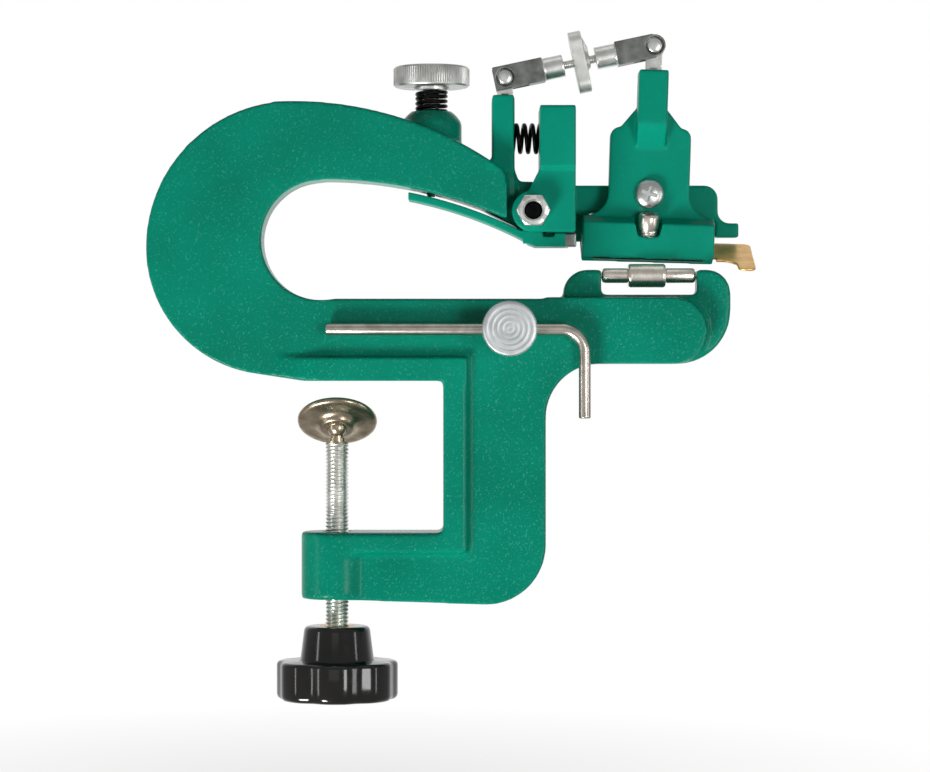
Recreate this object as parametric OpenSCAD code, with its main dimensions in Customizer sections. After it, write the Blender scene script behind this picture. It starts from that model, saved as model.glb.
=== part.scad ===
// Bench skiving machine for leather: a clamped C-frame, a sprung head lever with a
// blade holder over an anvil roller, a depth screw, a turnbuckle link and an edge guide.
// Frame: origin on the jaw face over the clamp screw, +X towards the roller, +Z up,
// -Y towards the user. Millimetres.

/* [Frame casting] */
// Thickness of the arm and the web
web_t = 18; // [14:0.5:22]
// Width of the jaw flange
flange_w = 24; // [22:0.5:30]
// Radius of the bow behind the throat
bow_r = 49; // [46:0.5:52]
// X of the centre of the bow
bow_x = -14.5; // [-16:0.5:-13]
// Height of the centre of the bow
bow_z = 44.5; // [43:0.5:46]
// Radius of the arm's upper edge
arm_top_r = 119.5; // [116:0.5:123]
// Radius of the arm's under edge
arm_low_r = 150; // [146:0.5:154]
// Radius of the round end of the throat
throat_r = 20; // [18:0.5:21]
// Top of the lower arm
sill_z = 27.5; // [25:0.5:28]
// X at which the arm's front face ends
arm_end_x = 57; // [55:0.5:59]
// Radius of the arm's upper tip
arm_tip_r = 6.5; // [4:0.5:8]
// Depth of the bench mouth from the screw to its back wall
mouth_x = 35.7; // [33:0.1:38]
// Height of the bench mouth
mouth_h = 50.5; // [45:0.5:54]
// Thickness of the jaw flange
flange_t = 8.2; // [7:0.1:9]
// Thickness of the flange on the lower clamp arm
low_flange_t = 7; // [6:0.1:8]
// X of the column's outer face
column_x = 70; // [67:0.5:73]
// Height of the lower clamp arm
clamp_arm_h = 22.5; // [20:0.5:26]
// Radius of the column's lower outer corner
corner_r = 20; // [14:0.5:22]
// Radius of the hollow corner under the front bar
bar_fillet_r = 18; // [12:0.5:20]
// Underside of the front bar
bar_low_z = 5.7; // [4:0.1:7]
// X of the centre of the front bar's round end
bar_end_x = 112.7; // [108:0.1:116]

/* [Anvil roller] */
// Diameter of the raised middle of the roller
roller_d = 8; // [7:0.1:8.4]
// Length of the raised middle of the roller
roller_mid_l = 12.8; // [8:0.1:18]
// X of the middle of the raised part
roller_mid_x = 104.1; // [102:0.1:106]
// Diameter of the roller's shoulders
roller_shoulder_d = 5; // [4:0.1:6]
// Diameter of the roller's journals
journal_d = 2; // [1.6:0.1:2.6]
// Height of the roller's axis
roller_z = 35.4; // [35:0.1:35.5]
// X of the left ear's inner face
ear_gap_x0 = 88.7; // [86:0.1:91]
// Clear length between the ears
ear_gap_l = 32; // [29:0.1:34]
// Thickness of the ear plate
ear_t = 9.5; // [9:0.1:10]
// Right end of the ear plate
ear_end_x = 132; // [129:0.5:133]

/* [Bench clamp] */
// Diameter of the clamp screw
clamp_d = 8; // [7:0.5:10]
// Diameter of the screw boss
boss_d = 24; // [20:0.5:28]
// Diameter of the swivel pad
pad_d = 26.7; // [22:0.1:27]
// Tilt of the loose swivel pad
pad_tilt = 34; // [20:1:34]
// Depth of the ball's centre below the jaw
ball_z = 15.7; // [15:0.1:18]
// Diameter of the ball
ball_d = 6.8; // [6.6:0.1:7.4]
// Diameter of the star knob
star_d = 41; // [36:0.5:46]
// Height of the star knob's lobed rim
star_h = 13; // [10:0.5:16]
// Diameter of the star knob's hub at half its height
star_hub_d = 23.2; // [18:0.1:28]
// Height of the star knob's hub
star_hub_h = 11.7; // [10.5:0.1:15]
// Number of lobes on the star knob
star_lobes = 7; // [5:1:10]

/* [Depth adjuster] */
// X of the depth screw
depth_x = 31.7; // [30:0.1:33]
// Y of the depth screw
depth_y = 3; // [2:0.1:4]
// Diameter of the depth screw
depth_d = 6; // [5:0.1:6.5]
// Diameter of the depth knob
depth_knob_d = 25.7; // [20:0.1:30]
// Thickness of the depth knob
depth_knob_h = 7; // [5:0.1:9]
// Outer diameter of the depth spring
depth_spring_d = 11; // [10.4:0.1:11.2]
// Wire of the depth spring
depth_wire_d = 1.3; // [1:0.1:1.3]
// Curls of the depth spring
depth_curls = 3; // [2:1:3]
// Thickness of the depth lever's strip
strip_t = 2.5; // [2:0.1:3]
// Gap between the arm and the strip
strip_gap = 1.3; // [1.1:0.1:1.6]

/* [Head lever] */
// X of the main pivot
pivot_x = 65.7; // [65:0.1:66]
// Height of the main pivot
pivot_z = 56.7; // [56.4:0.1:57]
// Diameter of the main pivot bolt
pivot_d = 6; // [5:0.1:6.5]
// Across flats of the pivot nut
nut_af = 10; // [9:0.1:11]
// Thickness of the head lever's front cheek
cheek_t = 3.2; // [2.5:0.1:4]
// Height of the rear bar's upper edge
rear_bar_z = 66.7; // [66:0.1:68]
// Thickness of the rear bar
rear_bar_t = 7; // [5:0.1:9]
// Top of the spring post on the frame
left_post_z = 96; // [95:0.1:97]
// Top of the spring post on the head lever
right_post_z = 92; // [89:0.1:92]
// Height of the head spring
head_spring_z = 81.8; // [80.5:0.1:82]
// Outer diameter of the head spring
head_spring_d = 10.6; // [9:0.1:11]
// Wire of the head spring
head_wire_d = 1.4; // [1:0.1:1.6]
// Curls of the head spring
head_curls = 4; // [3:1:4]

/* [Blade holder] */
// X of the holder's pivot screw
holder_x = 105.3; // [105:0.1:105.6]
// Height of the holder's pivot screw
holder_z = 63.3; // [63.2:0.1:63.6]
// Lean of the holder to the right
holder_lean = 1.8; // [1:0.1:2]
// Length of the blade block
block_l = 44.6; // [44:0.1:45]
// Width of the holder's plate
plate_w = 27.4; // [24:0.1:30]
// Thickness of the holder's plate
plate_t = 6; // [5:0.1:6.5]
// Width of the holder's top post
top_post_w = 10; // [9:0.1:12]
// Height of the top post's end above the pivot
top_post_h = 41.4; // [39:0.1:42]
// Slope of the blade
blade_slope = 20; // [18:0.5:22]
// Length of the razor blade
blade_l = 43; // [40:0.5:43]
// Width of the razor blade
blade_w = 22; // [20:0.5:22]
// Thickness of the razor blade
blade_t = 0.1; // [0.1:0.05:0.2]
// Thickness of the brass pressure plate
brass_t = 0.9; // [0.7:0.05:1.1]
// Diameter of the set screw
set_d = 7; // [5:0.1:7]
// Diameter of the holder screw's shank
holder_d = 5; // [4:0.1:5.5]

/* [Turnbuckle] */
// X of the left link pin
link_x = 56.5; // [56:0.1:57]
// Height of the left link pin
link_z = 102.3; // [102:0.1:103]
// Height of the right link pin above the holder's pivot
link_h = 49.7; // [49.5:0.1:50]
// Width of the clevises
clevis_w = 8; // [7.5:0.1:8.5]
// Thickness of the eyes
eye_t = 4; // [3.5:0.1:4.2]
// Diameter of the link pins
pin_d = 2.8; // [2.4:0.1:3]
// Diameter of the threaded rod
rod_d = 3; // [2.6:0.1:3.4]
// Span of the wing
wing_span = 21; // [16:0.5:24]
// Thickness of the wing
wing_t = 4.2; // [3:0.1:4.5]

/* [Edge guide] */
// Diameter of the guide rod
guide_d = 4; // [3:0.1:4]
// Height of the guide rod
guide_z = 17.2; // [15:0.1:19]
// X of the clamping post
guide_x = 57.7; // [55:0.1:60]
// Left end of the guide rod
guide_end_x = -3.3; // [-10:0.1:5]
// X of the guide's leg
guide_leg_x = 82.8; // [81:0.1:86]
// Lower end of the guide's leg
guide_leg_z = -12.5; // [-20:0.5:-5]
// Bend radius of the guide rod
guide_bend_r = 8; // [5:0.5:10]
// Diameter of the guide knob
guide_knob_d = 18.5; // [15:0.1:22]

/* [Fits] */
// Radial play of a turning or sliding fit
run_fit = 0.05; // [0.02:0.01:0.1]
// Radial play of a fixed fit
fixed_fit = 0.02; // [0.01:0.01:0.03]
// Side play between moving faces
side_gap = 0.3; // [0.2:0.05:0.4]
// Play between stacked flat faces
face_gap = 0.05; // [0.03:0.01:0.1]
// Radial play of the left link pin in its eye
loose_fit = 1; // [0.95:0.05:1.1]

/* [Hidden] */
$fn = 64;

// Colours
casting_green = "#0d7a5f";
steel_grey = "#a9adb0";
bright_metal = "#d5d8da";
black_plastic = "#17171a";
spring_black = "#242426";
brass_yellow = "#b98a3a";

// Frame: places worked out from the driving sizes
web_y = web_t / 2;
heel_r = 42.5;
heel_x = bow_x - bow_r + heel_r;
toe_start = [-27.4, 2.5];
toe_end = [-10.8, 0];
arm_top_c = [bow_x, bow_z + bow_r - arm_top_r];
throat_lap = 0.5;
throat_c = [-5, sill_z + throat_r - throat_lap];
arm_low_rise = 0.3;
arm_low_c = [-4.5, throat_c[1] + throat_r + arm_low_rise - arm_low_r];
tip_c = [arm_end_x - arm_tip_r,
         arm_top_c[1] + sqrt(pow(arm_top_r - arm_tip_r, 2) - pow(arm_end_x - arm_tip_r - arm_top_c[0], 2))];
tip_angle = atan2(tip_c[1] - arm_top_c[1], tip_c[0] - arm_top_c[0]);
jaw_end_x = -6;
jaw_tip_x = -21;
lower_jaw_z = -mouth_h;
clamp_arm_z = lower_jaw_z - clamp_arm_h;
clamp_arm_drop = 1.7;
corner_c = [column_x - corner_r, clamp_arm_z - clamp_arm_drop + corner_r];
bar_top_z = sill_z + throat_lap;
bar_end_r = (bar_top_z - bar_low_z) / 2;

// Ears and roller
ear_gap_x1 = ear_gap_x0 + ear_gap_l;
ear_y0 = -4;
ear_floor_z = 29;
ear_left_x = ear_gap_x0 - 12.7;
ear_top_z = 37.3;
ear_corner_r = 8;
ear_heel_r = 18;
roller_y = 0;
journal_depth = 2.5;
roller_chamfer = 1;

// Bench clamp: heights
collar_t = 1.2;
collar_pin_l = 5;
clamp_top_z = -ball_z - ball_d / 2 - collar_t - face_gap;
star_top_z = -82.3;
star_rim_z = star_top_z - star_hub_h;
hub_taper = 1.5;
insert_d = 12;
insert_l = 10;
insert_floor = 1;

// Link plane, posts and springs
link_y = 4;
post_w = 14;
left_post_x = 52;
left_post_t = 7.7;
left_face_x = left_post_x + left_post_t;
post_root_z = pivot_z + 5;
right_face_x = pivot_x + 2.3;
right_post_t = 12;
spring_seat = 3;
spring_play = 0.4;
spring_end_gap = 0.2;
lug_r = 7.5;
lug_y0 = -2;
lug_t = 10;
lug_root_x = arm_end_x - 7;
lug_rise = 10.3;
lug_step = 1.5;
lug_end_x = pivot_x + 0.5;

// Head lever: layers in Y
ear_plate_t = 2.7;
slot_y0 = lug_y0 - side_gap - ear_plate_t - side_gap;
cheek_y0 = slot_y0 - cheek_t;
slot_y1 = lug_y0 + lug_t + side_gap;
rear_cheek_y1 = 13;
slot_r = lug_r + 0.7;
cheek_r = 7;
lever_right_x = right_face_x + right_post_t;
bridge_x = pivot_x + slot_r + 0.1;
lever_low_z = pivot_z - cheek_r;
post_base_z = 71;
swing_room = 2;
post_front_y = cheek_y0 - 1.5;

// Pivot bolt and its nut: layers in Y
nut_t = 5;
bolt_sink = 2;
bolt_washer_t = 1.2;
bolt_washer_d = 12;
bolt_head_t = 4;
nut_y1 = cheek_y0 - face_gap;
bolt_head_y0 = rear_cheek_y1 + 2 * face_gap + bolt_washer_t;
hex_d = nut_af / cos(30);

// Depth adjuster: heights
boss_r = 11.5;
boss_drop = 12;
boss_c_z = bow_z + bow_r - boss_drop;
boss_w = 20.4;
seat_rise = 7.5;
depth_seat_z = boss_c_z + seat_rise;
depth_spring_l = 9;
depth_spring_top = depth_seat_z + depth_spring_l;
depth_washer_t = 0.8;
depth_knob_z = depth_spring_top + face_gap + depth_washer_t + face_gap;
strip_r1 = arm_low_r - strip_gap;
strip_r0 = strip_r1 - strip_t;
strip_end_x = 24;
strip_right_x = lever_right_x + 0.3;
strip_low_z = 45;
strip_gap_top = 0.15;
strip_y0 = slot_y0 + side_gap;
strip_y1 = lug_y0 + lug_t;
tip_r = 1.2;
tip_gap = 0.25;
depth_tip_z = arm_low_c[1] + sqrt(pow(strip_r1, 2) - pow(depth_x - tip_r - arm_low_c[0], 2)) + tip_gap;

// Blade holder: layers in Y and places about its pivot
plate_y0 = 6;
plate_y1 = plate_y0 + plate_t;
holder_washer_t = 1;
holder_head_t = 3;
locknut_t = 4;
locknut_af = 8;
rear_bar_y0 = plate_y1 + holder_washer_t + 2 * face_gap;
rear_bar_y1 = rear_bar_y0 + rear_bar_t;
rear_bar_low_z = 57.2;
block_y0 = 1.1;
block_y1 = 23;
block_top = -10.3;
block_rise = 2.5;
edge_z = 40.4;
edge_h = edge_z - holder_z;
slot_play = 0.08;
slot_end = blade_w + 0.3;
jaw_t = 2.3;
lip_t = 2.5;
lip_y0 = ear_y0 + ear_t + 0.3;
set_y = 7.6;
set_l = 13;
notch_d = 9.8;
notch_h = 7.3;
notch_sink = 0.3;
brass_gap = 0.04;
brass_front = 3;
grip_reach = 13.4;
nose_y = brass_front * cos(blade_slope) - (blade_t + brass_t + brass_gap) * sin(blade_slope) - side_gap;
plate_top = 22.5;
shoulder_r = 3.4;
shoulder_top = 28.5;
shoulder_w = 11;
flare_r = 8;
post_ramp_low = 15.4;
post_ramp_high = 23;
top_post_t = 11;
top_post_y0 = link_y - top_post_t / 2;

// Link: the right pin lies on the holder's own centre line
link_right = [holder_x + link_h * sin(holder_lean), holder_z + link_h * cos(holder_lean)];
link_l = norm([link_right[0] - link_x, link_right[1] - link_z]);
link_angle = atan2(link_right[1] - link_z, link_right[0] - link_x);
clevis_back = 3.7;
clevis_front = 13.3;
clevis_slot = 7.6;
neck_d = 7.7;
neck_end = 20.2;
eye_r = 3.4;
eye_stem_w = 5.5;
eye_shank_d = 5;
eye_shank_l = 7;
pin_head_d = 4.6;
pin_head_t = 0.9;
pin_sink_d = 6;
pin_sink = 1;
wing_start = 23.7;
hub_end = 29.2;
hub_d = 7;

// Edge guide: layers in Y
guide_y = -web_y - 3.6;
bush_d = guide_d + 2;
guide_post_d = 12;
guide_post_y0 = guide_y - bush_d / 2 - 1;
guide_knob_t = 7.8;
guide_stub_d = 5;
guide_spigot_d = 6;
guide_spigot_l = 6;

// A profile in X and Z, extruded from one Y to another
module slab(y0, y1) {
  translate([0, y1, 0]) rotate([90, 0, 0]) linear_extrude(y1 - y0) children();
}

// A profile in Y and Z, extruded from one X to another
module bar_x(x0, x1) {
  translate([x0, 0, 0]) rotate([90, 0, 90]) linear_extrude(x1 - x0) children();
}

// A round bar along Y about a point in X and Z
module rod_y(d, y0, y1, at, sides = $fn) {
  translate([at[0], y1, at[1]]) rotate([90, 0, 0]) cylinder(d = d, h = y1 - y0, $fn = sides);
}

// A round bar along X about a point in Y and Z
module rod_x(d, x0, x1, at) {
  translate([x0, at[0], at[1]]) rotate([0, 90, 0]) cylinder(d = d, h = x1 - x0);
}

// The holder's own axes: origin on its pivot, leaning with it
module in_holder() {
  translate([holder_x, 0, holder_z]) rotate([0, holder_lean, 0]) children();
}

// The blade's own axes: origin on the cutting edge, +Y up the slope, +Z square to the blade
module on_slope() {
  in_holder() translate([0, 0, edge_h]) rotate([blade_slope, 0, 0]) children();
}

// The link's own axes: origin on the left pin, +X along the rod
module in_link() {
  translate([link_x, link_y, link_z]) rotate([0, -link_angle, 0]) children();
}

// Height of a plane parallel to the blade, at a Y and at a distance square to the blade
function slope_at(y, n) = edge_h + y * tan(blade_slope) + n / cos(blade_slope);

// Quarter of a square outside a circle: a hollow corner of a given radius
module hollow_corner(r, at, sx, sz) {
  difference() {
    translate([at[0] + min(0, sx * r), at[1] + min(0, sz * r)]) square(r);
    translate([at[0] + sx * r, at[1] + sz * r]) circle(r);
  }
}

// Points of a spring wire: straight ends along the axis, and a helix between them
function spring_path(r, l, wire, curls) =
  let (steps = curls * 8)
  concat([[r, 0, 0]],
         [for (i = [0:steps])
            [r * cos(i * 45), r * sin(i * 45), wire + (l - 2 * wire) * i / steps]],
         [[r, 0, l]]);

// Least gap between parts of the wire that are most of a curl apart
function spring_gap(p, wire) =
  min([for (i = [0:len(p) - 1], j = [0:len(p) - 1]) if (j - i > 5) norm(p[j] - p[i])]) - wire;

function unit(v) = v / norm(v);

// One unbroken wire of 6 sides along a path about the Z axis
module spring(path, wire) {
  n = len(path);
  sides = 6;
  points = [for (i = [0:n - 1])
    let (along = unit(path[min(i + 1, n - 1)] - path[max(i - 1, 0)]),
         out = unit([path[i][0], path[i][1], 0]),
         side = unit(cross(along, out)))
    for (k = [0:sides - 1])
      path[i] + wire / 2 * (cos(k * 360 / sides) * out + sin(k * 360 / sides) * side)];
  walls = [for (i = [0:n - 2], k = [0:sides - 1])
    let (a = i * sides + k, b = i * sides + (k + 1) % sides)
    each [[a, b, a + sides], [b, b + sides, a + sides]]];
  caps = [for (k = [1:sides - 2])
    each [[0, k + 1, k], [(n - 1) * sides, (n - 1) * sides + k, (n - 1) * sides + k + 1]]];
  polyhedron(points = points, faces = [for (f = concat(walls, caps)) [f[0], f[2], f[1]]]);
}

depth_path = spring_path((depth_spring_d - depth_wire_d) / 2,
                         depth_spring_top - depth_seat_z - 2 * spring_end_gap,
                         depth_wire_d, depth_curls);
head_path = spring_path((head_spring_d - head_wire_d) / 2,
                        right_face_x - left_face_x + 2 * spring_seat - 2 * spring_end_gap,
                        head_wire_d, head_curls);
echo(depth_spring_least_gap = spring_gap(depth_path, depth_wire_d));
echo(head_spring_least_gap = spring_gap(head_path, head_wire_d));

// The throat that the work passes through
module throat_outline() {
  reach = 100;
  translate(throat_c) circle(throat_r);
  intersection() {
    translate(arm_low_c) circle(arm_low_r, $fn = 256);
    translate([throat_c[0], sill_z]) square([reach, reach]);
  }
}

// The web: bow, arm, lower arm, column and front bar
module web_outline() {
  difference() {
    union() {
      intersection() {
        translate([bow_x, bow_z]) circle(bow_r, $fn = 128);
        translate([bow_x - bow_r, bow_z]) square(bow_r);
      }
      intersection() {
        translate([heel_x, bow_z]) circle(heel_r, $fn = 128);
        translate([heel_x - heel_r, bow_z - heel_r]) square([heel_r, heel_r]);
      }
      intersection() {
        translate(arm_top_c) circle(arm_top_r, $fn = 256);
        translate([heel_x, sill_z]) square([arm_end_x - heel_x, bow_z + bow_r - sill_z]);
      }
      polygon([toe_start, toe_end, [column_x, 0], [column_x, sill_z], [toe_start[0], sill_z]]);
      translate([mouth_x, corner_c[1]]) square([column_x - mouth_x, sill_z - corner_c[1]]);
      polygon([[0, lower_jaw_z], [corner_c[0], lower_jaw_z],
               [corner_c[0], corner_c[1] - corner_r], [0, clamp_arm_z]]);
      intersection() {
        translate(corner_c) circle(corner_r);
        translate([corner_c[0], corner_c[1] - corner_r]) square([corner_r, 2 * corner_r]);
      }
      translate([column_x, bar_low_z]) square([bar_end_x - column_x, bar_top_z - bar_low_z]);
      translate([bar_end_x, bar_low_z + bar_end_r]) circle(bar_end_r);
      hollow_corner(bar_fillet_r, [column_x, bar_low_z], 1, -1);
    }
    throat_cut();
    tip_cut();
  }
}

// The throat stops at the lower arm, so the front bar keeps its own top
module throat_cut() {
  difference() {
    throat_outline();
    translate([column_x, bar_low_z]) square([bar_end_x, bar_top_z - bar_low_z]);
  }
}

// Rounds the arm's upper tip where the top arc meets the end face
module tip_cut() {
  touch_x = tip_c[0] + arm_tip_r * cos(tip_angle);
  difference() {
    translate([touch_x, tip_c[1]]) square([arm_end_x - touch_x + 1, 3 * arm_tip_r]);
    translate(tip_c) circle(arm_tip_r);
  }
}

// Two ears for the roller, with the slot between them
module ear_outline() {
  heel_c = [ear_end_x - ear_heel_r, bar_low_z + ear_heel_r];
  difference() {
    union() {
      translate([ear_left_x, bar_low_z]) square([heel_c[0] - ear_left_x, ear_floor_z - bar_low_z]);
      intersection() {
        translate(heel_c) circle(ear_heel_r);
        translate([heel_c[0], bar_low_z]) square(ear_heel_r);
      }
      translate([heel_c[0], heel_c[1]]) square([ear_heel_r, ear_top_z - heel_c[1]]);
      translate([ear_left_x, bar_low_z]) square([ear_gap_x0 - ear_left_x, ear_top_z - bar_low_z]);
    }
    translate([ear_gap_x0, ear_floor_z]) square([ear_gap_l, ear_top_z]);
    hollow_corner(ear_corner_r, [ear_left_x, ear_top_z], 1, -1);
    hollow_corner(ear_corner_r, [ear_end_x, ear_top_z], -1, -1);
  }
}

// The lug that carries the main pivot behind the arm's tip
module lug_outline() {
  translate([pivot_x, pivot_z]) circle(lug_r);
  polygon([[lug_root_x, pivot_z], [pivot_x, pivot_z - lug_r], [lug_end_x, pivot_z],
           [lug_end_x, pivot_z + lug_rise], [left_face_x + lug_step, pivot_z + lug_rise],
           [left_face_x, post_base_z], [lug_root_x, post_base_z]]);
}

// Flange round the bench mouth
module flange_outline() {
  translate([jaw_end_x, 0]) square([mouth_x + flange_t - jaw_end_x, flange_t]);
  translate([mouth_x, lower_jaw_z - low_flange_t]) square([flange_t, mouth_h + low_flange_t + flange_t]);
  translate([0, lower_jaw_z - low_flange_t]) square([mouth_x + flange_t, low_flange_t]);
}

// Plan of the jaw flange's end, drawn in to the web's own width
module jaw_end_outline() {
  half = flange_w / 2;
  polygon([[jaw_end_x, -half], [jaw_end_x, half], [jaw_tip_x, web_y], [jaw_tip_x, -web_y]]);
}

module frame() {
  color(casting_green) difference() {
    union() {
      slab(-web_y, web_y) web_outline();
      slab(-flange_w / 2, flange_w / 2) flange_outline();
      intersection() {
        linear_extrude(flange_t) jaw_end_outline();
        slab(-flange_w / 2, flange_w / 2) web_outline();
      }
      translate([0, 0, clamp_arm_z]) cylinder(d = boss_d, h = clamp_arm_h);
      slab(ear_y0, ear_y0 + ear_t) ear_outline();
      slab(lug_y0, lug_y0 + lug_t) lug_outline();
      slab(link_y - post_w / 2, link_y + post_w / 2)
        translate([left_post_x, post_root_z]) square([left_post_t, left_post_z - post_root_z]);
      intersection() {
        translate([depth_x, depth_y, boss_c_z]) sphere(boss_r);
        translate([depth_x, depth_y, boss_c_z - boss_r]) cylinder(d = boss_w, h = 2 * boss_r);
      }
    }
    translate([0, 0, clamp_arm_z - 1]) cylinder(d = clamp_d + 2 * run_fit, h = clamp_arm_h + 2);
    translate([depth_x, depth_y, pivot_z]) cylinder(d = depth_d + 2 * run_fit, h = 2 * boss_c_z);
    translate([depth_x, depth_y, depth_seat_z])
      cylinder(d = depth_spring_d + 2 * spring_play, h = boss_r);
    rod_y(pivot_d + 2 * fixed_fit, lug_y0 - 1, lug_y0 + lug_t + 1, [pivot_x, pivot_z]);
    rod_x(journal_d + 2 * run_fit, ear_gap_x0 - journal_depth - side_gap,
          ear_gap_x1 + journal_depth + side_gap, [roller_y, roller_z]);
    rod_x(head_spring_d + 2 * spring_play, left_face_x - spring_seat, left_face_x + 1,
          [link_y, head_spring_z]);
    translate([link_x, link_y, left_post_z - eye_shank_l])
      cylinder(d = eye_shank_d + 2 * fixed_fit, h = eye_shank_l + 1);
    rod_y(guide_spigot_d + 2 * fixed_fit, -web_y - 1, -web_y + guide_spigot_l, [guide_x, guide_z]);
  }
}

// The ball end that the pad swivels on, with its collar and the pin that the screw turns about
module pad_collar() {
  neck_d = 4.2;
  collar_d = 5.6;
  color(bright_metal) translate([0, 0, -ball_z]) {
    sphere(d = ball_d);
    translate([0, 0, -ball_d / 2 - collar_t]) cylinder(d = neck_d, h = ball_d / 2 + collar_t);
    translate([0, 0, -ball_d / 2 - collar_t]) cylinder(d = collar_d, h = collar_t);
    translate([0, 0, -ball_d / 2 - collar_t - collar_pin_l])
      cylinder(d = clamp_d / 2, h = collar_pin_l + collar_t);
  }
}

// Dished pad, swivelled on the ball until it lies against the neck
module clamp_pad() {
  pad_r = pad_d / 2;
  rim_low = 1.6;
  rim_top = 3.6;
  hub_r = ball_d / 2 + 2.2;
  hub_low = -0.9;
  cup_d = ball_d + 2 * run_fit;
  color(bright_metal) translate([0, 0, -ball_z]) rotate([-pad_tilt, 0, 0]) difference() {
    rotate_extrude() polygon([[0, hub_low], [hub_r, hub_low], [hub_r + 1.4, rim_low - 0.4],
                              [pad_r - 1, rim_low], [pad_r, rim_low + 0.6], [pad_r, rim_top],
                              [pad_r - 1.2, rim_top], [pad_r - 2.4, rim_top + 1.6],
                              [0, rim_top + 1.6]]);
    sphere(d = cup_d);
  }
}

module clamp_screw() {
  end_z = star_top_z - insert_l + insert_floor;
  pin_hole_l = collar_pin_l + side_gap;
  color(steel_grey) difference() {
    translate([0, 0, end_z]) cylinder(d = clamp_d, h = clamp_top_z - end_z);
    translate([0, 0, clamp_top_z - pin_hole_l])
      cylinder(d = clamp_d / 2 + 2 * run_fit, h = pin_hole_l + 1);
  }
}

// Threaded metal insert that holds the knob on the screw
module clamp_knob_insert() {
  color(brass_yellow) difference() {
    translate([0, 0, star_top_z - insert_l]) cylinder(d = insert_d, h = insert_l);
    translate([0, 0, star_top_z - insert_l + insert_floor])
      cylinder(d = clamp_d + 2 * fixed_fit, h = insert_l);
  }
}

// Star knob: a plain hub above a rim cut into lobes
module clamp_knob() {
  groove_d = 9;
  groove_r = star_d / 2 + 3.3;
  rim_low_z = star_rim_z - star_h;
  color(black_plastic) difference() {
    union() {
      translate([0, 0, star_rim_z])
        cylinder(d1 = star_hub_d + hub_taper, d2 = star_hub_d - hub_taper, h = star_hub_h);
      translate([0, 0, rim_low_z + 1]) cylinder(d = star_d, h = star_h - 1);
      translate([0, 0, rim_low_z]) cylinder(d1 = star_d - 3, d2 = star_d, h = 1);
    }
    translate([0, 0, star_top_z - insert_l])
      cylinder(d = insert_d + 2 * fixed_fit, h = insert_l + 1);
    for (i = [0:star_lobes - 1])
      rotate([0, 0, (i + 0.5) * 360 / star_lobes - 90])
        translate([groove_r, 0, rim_low_z - 1]) cylinder(d = groove_d, h = star_h + 2);
  }
}

// Stepped roller on thin journals
module roller() {
  x0 = ear_gap_x0 + side_gap;
  x1 = ear_gap_x1 - side_gap;
  m0 = roller_mid_x - roller_mid_l / 2;
  m1 = roller_mid_x + roller_mid_l / 2;
  r = roller_d / 2;
  s = roller_shoulder_d / 2;
  c = roller_chamfer;
  color(bright_metal) translate([0, roller_y, roller_z]) {
    rotate([0, 90, 0]) rotate_extrude()
      polygon([[0, x0], [s - c, x0], [s, x0 + c], [s, m0], [r - c, m0], [r, m0 + c], [r, m1 - c],
               [r - c, m1], [s, m1], [s, x1 - c], [s - c, x1], [0, x1]]);
    rod_x(journal_d, ear_gap_x0 - journal_depth, ear_gap_x1 + journal_depth, [0, 0]);
  }
}

// Post on the web, cross-bored for the guide's bush
module guide_post() {
  color(steel_grey) difference() {
    union() {
      rod_y(guide_post_d, guide_post_y0, -web_y, [guide_x, guide_z]);
      rod_y(guide_spigot_d, -web_y, -web_y + guide_spigot_l - 0.5, [guide_x, guide_z]);
    }
    rod_x(bush_d + 2 * run_fit, guide_x - guide_post_d, guide_x + guide_post_d, [guide_y, guide_z]);
    rod_y(guide_stub_d + 2 * run_fit, guide_post_y0 - 1, guide_y, [guide_x, guide_z]);
  }
}

// Sleeve that the rod slides in and that turns in the post
module guide_bush() {
  color(brass_yellow) difference() {
    rod_x(bush_d, guide_x - guide_post_d / 2 - 1, guide_x + guide_post_d / 2 + 1, [guide_y, guide_z]);
    rod_x(guide_d + 2 * run_fit, guide_x - guide_post_d, guide_x + guide_post_d, [guide_y, guide_z]);
  }
}

// Bent rod: a long arm, a quarter bend and a leg
module guide_rod() {
  bend_x = guide_leg_x - guide_bend_r;
  bend_z = guide_z - guide_bend_r;
  color(bright_metal) {
    rod_x(guide_d, guide_end_x, bend_x, [guide_y, guide_z]);
    translate([bend_x, guide_y, bend_z]) rotate([90, 0, 0])
      rotate_extrude(angle = 90) translate([guide_bend_r, 0]) circle(d = guide_d);
    translate([guide_leg_x, guide_y, guide_leg_z]) cylinder(d = guide_d, h = bend_z - guide_leg_z);
  }
}

// Thumb screw that clamps the guide
module guide_knob() {
  knob_y1 = guide_post_y0 - side_gap;
  color(bright_metal) {
    rod_y(guide_knob_d, knob_y1 - guide_knob_t, knob_y1, [guide_x, guide_z]);
    rod_y(guide_stub_d, knob_y1, guide_y - bush_d / 2 - face_gap, [guide_x, guide_z]);
  }
}

module depth_washer() {
  washer_d = 12;
  color(steel_grey) translate([depth_x, depth_y, depth_spring_top + face_gap]) difference() {
    cylinder(d = washer_d, h = depth_washer_t);
    translate([0, 0, -1]) cylinder(d = depth_d + 2 * run_fit, h = depth_washer_t + 2);
  }
}

module depth_spring() {
  color(spring_black) translate([depth_x, depth_y, depth_seat_z + spring_end_gap])
    spring(depth_path, depth_wire_d);
}

// Screw with a coned tip that pushes on the strip
module depth_screw() {
  cone_h = 2.5;
  end_z = depth_knob_z + depth_knob_h - 1;
  color(steel_grey) translate([depth_x, depth_y, depth_tip_z]) {
    cylinder(r1 = tip_r, d2 = depth_d, h = cone_h);
    translate([0, 0, cone_h]) cylinder(d = depth_d, h = end_z - depth_tip_z - cone_h);
  }
}

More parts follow.
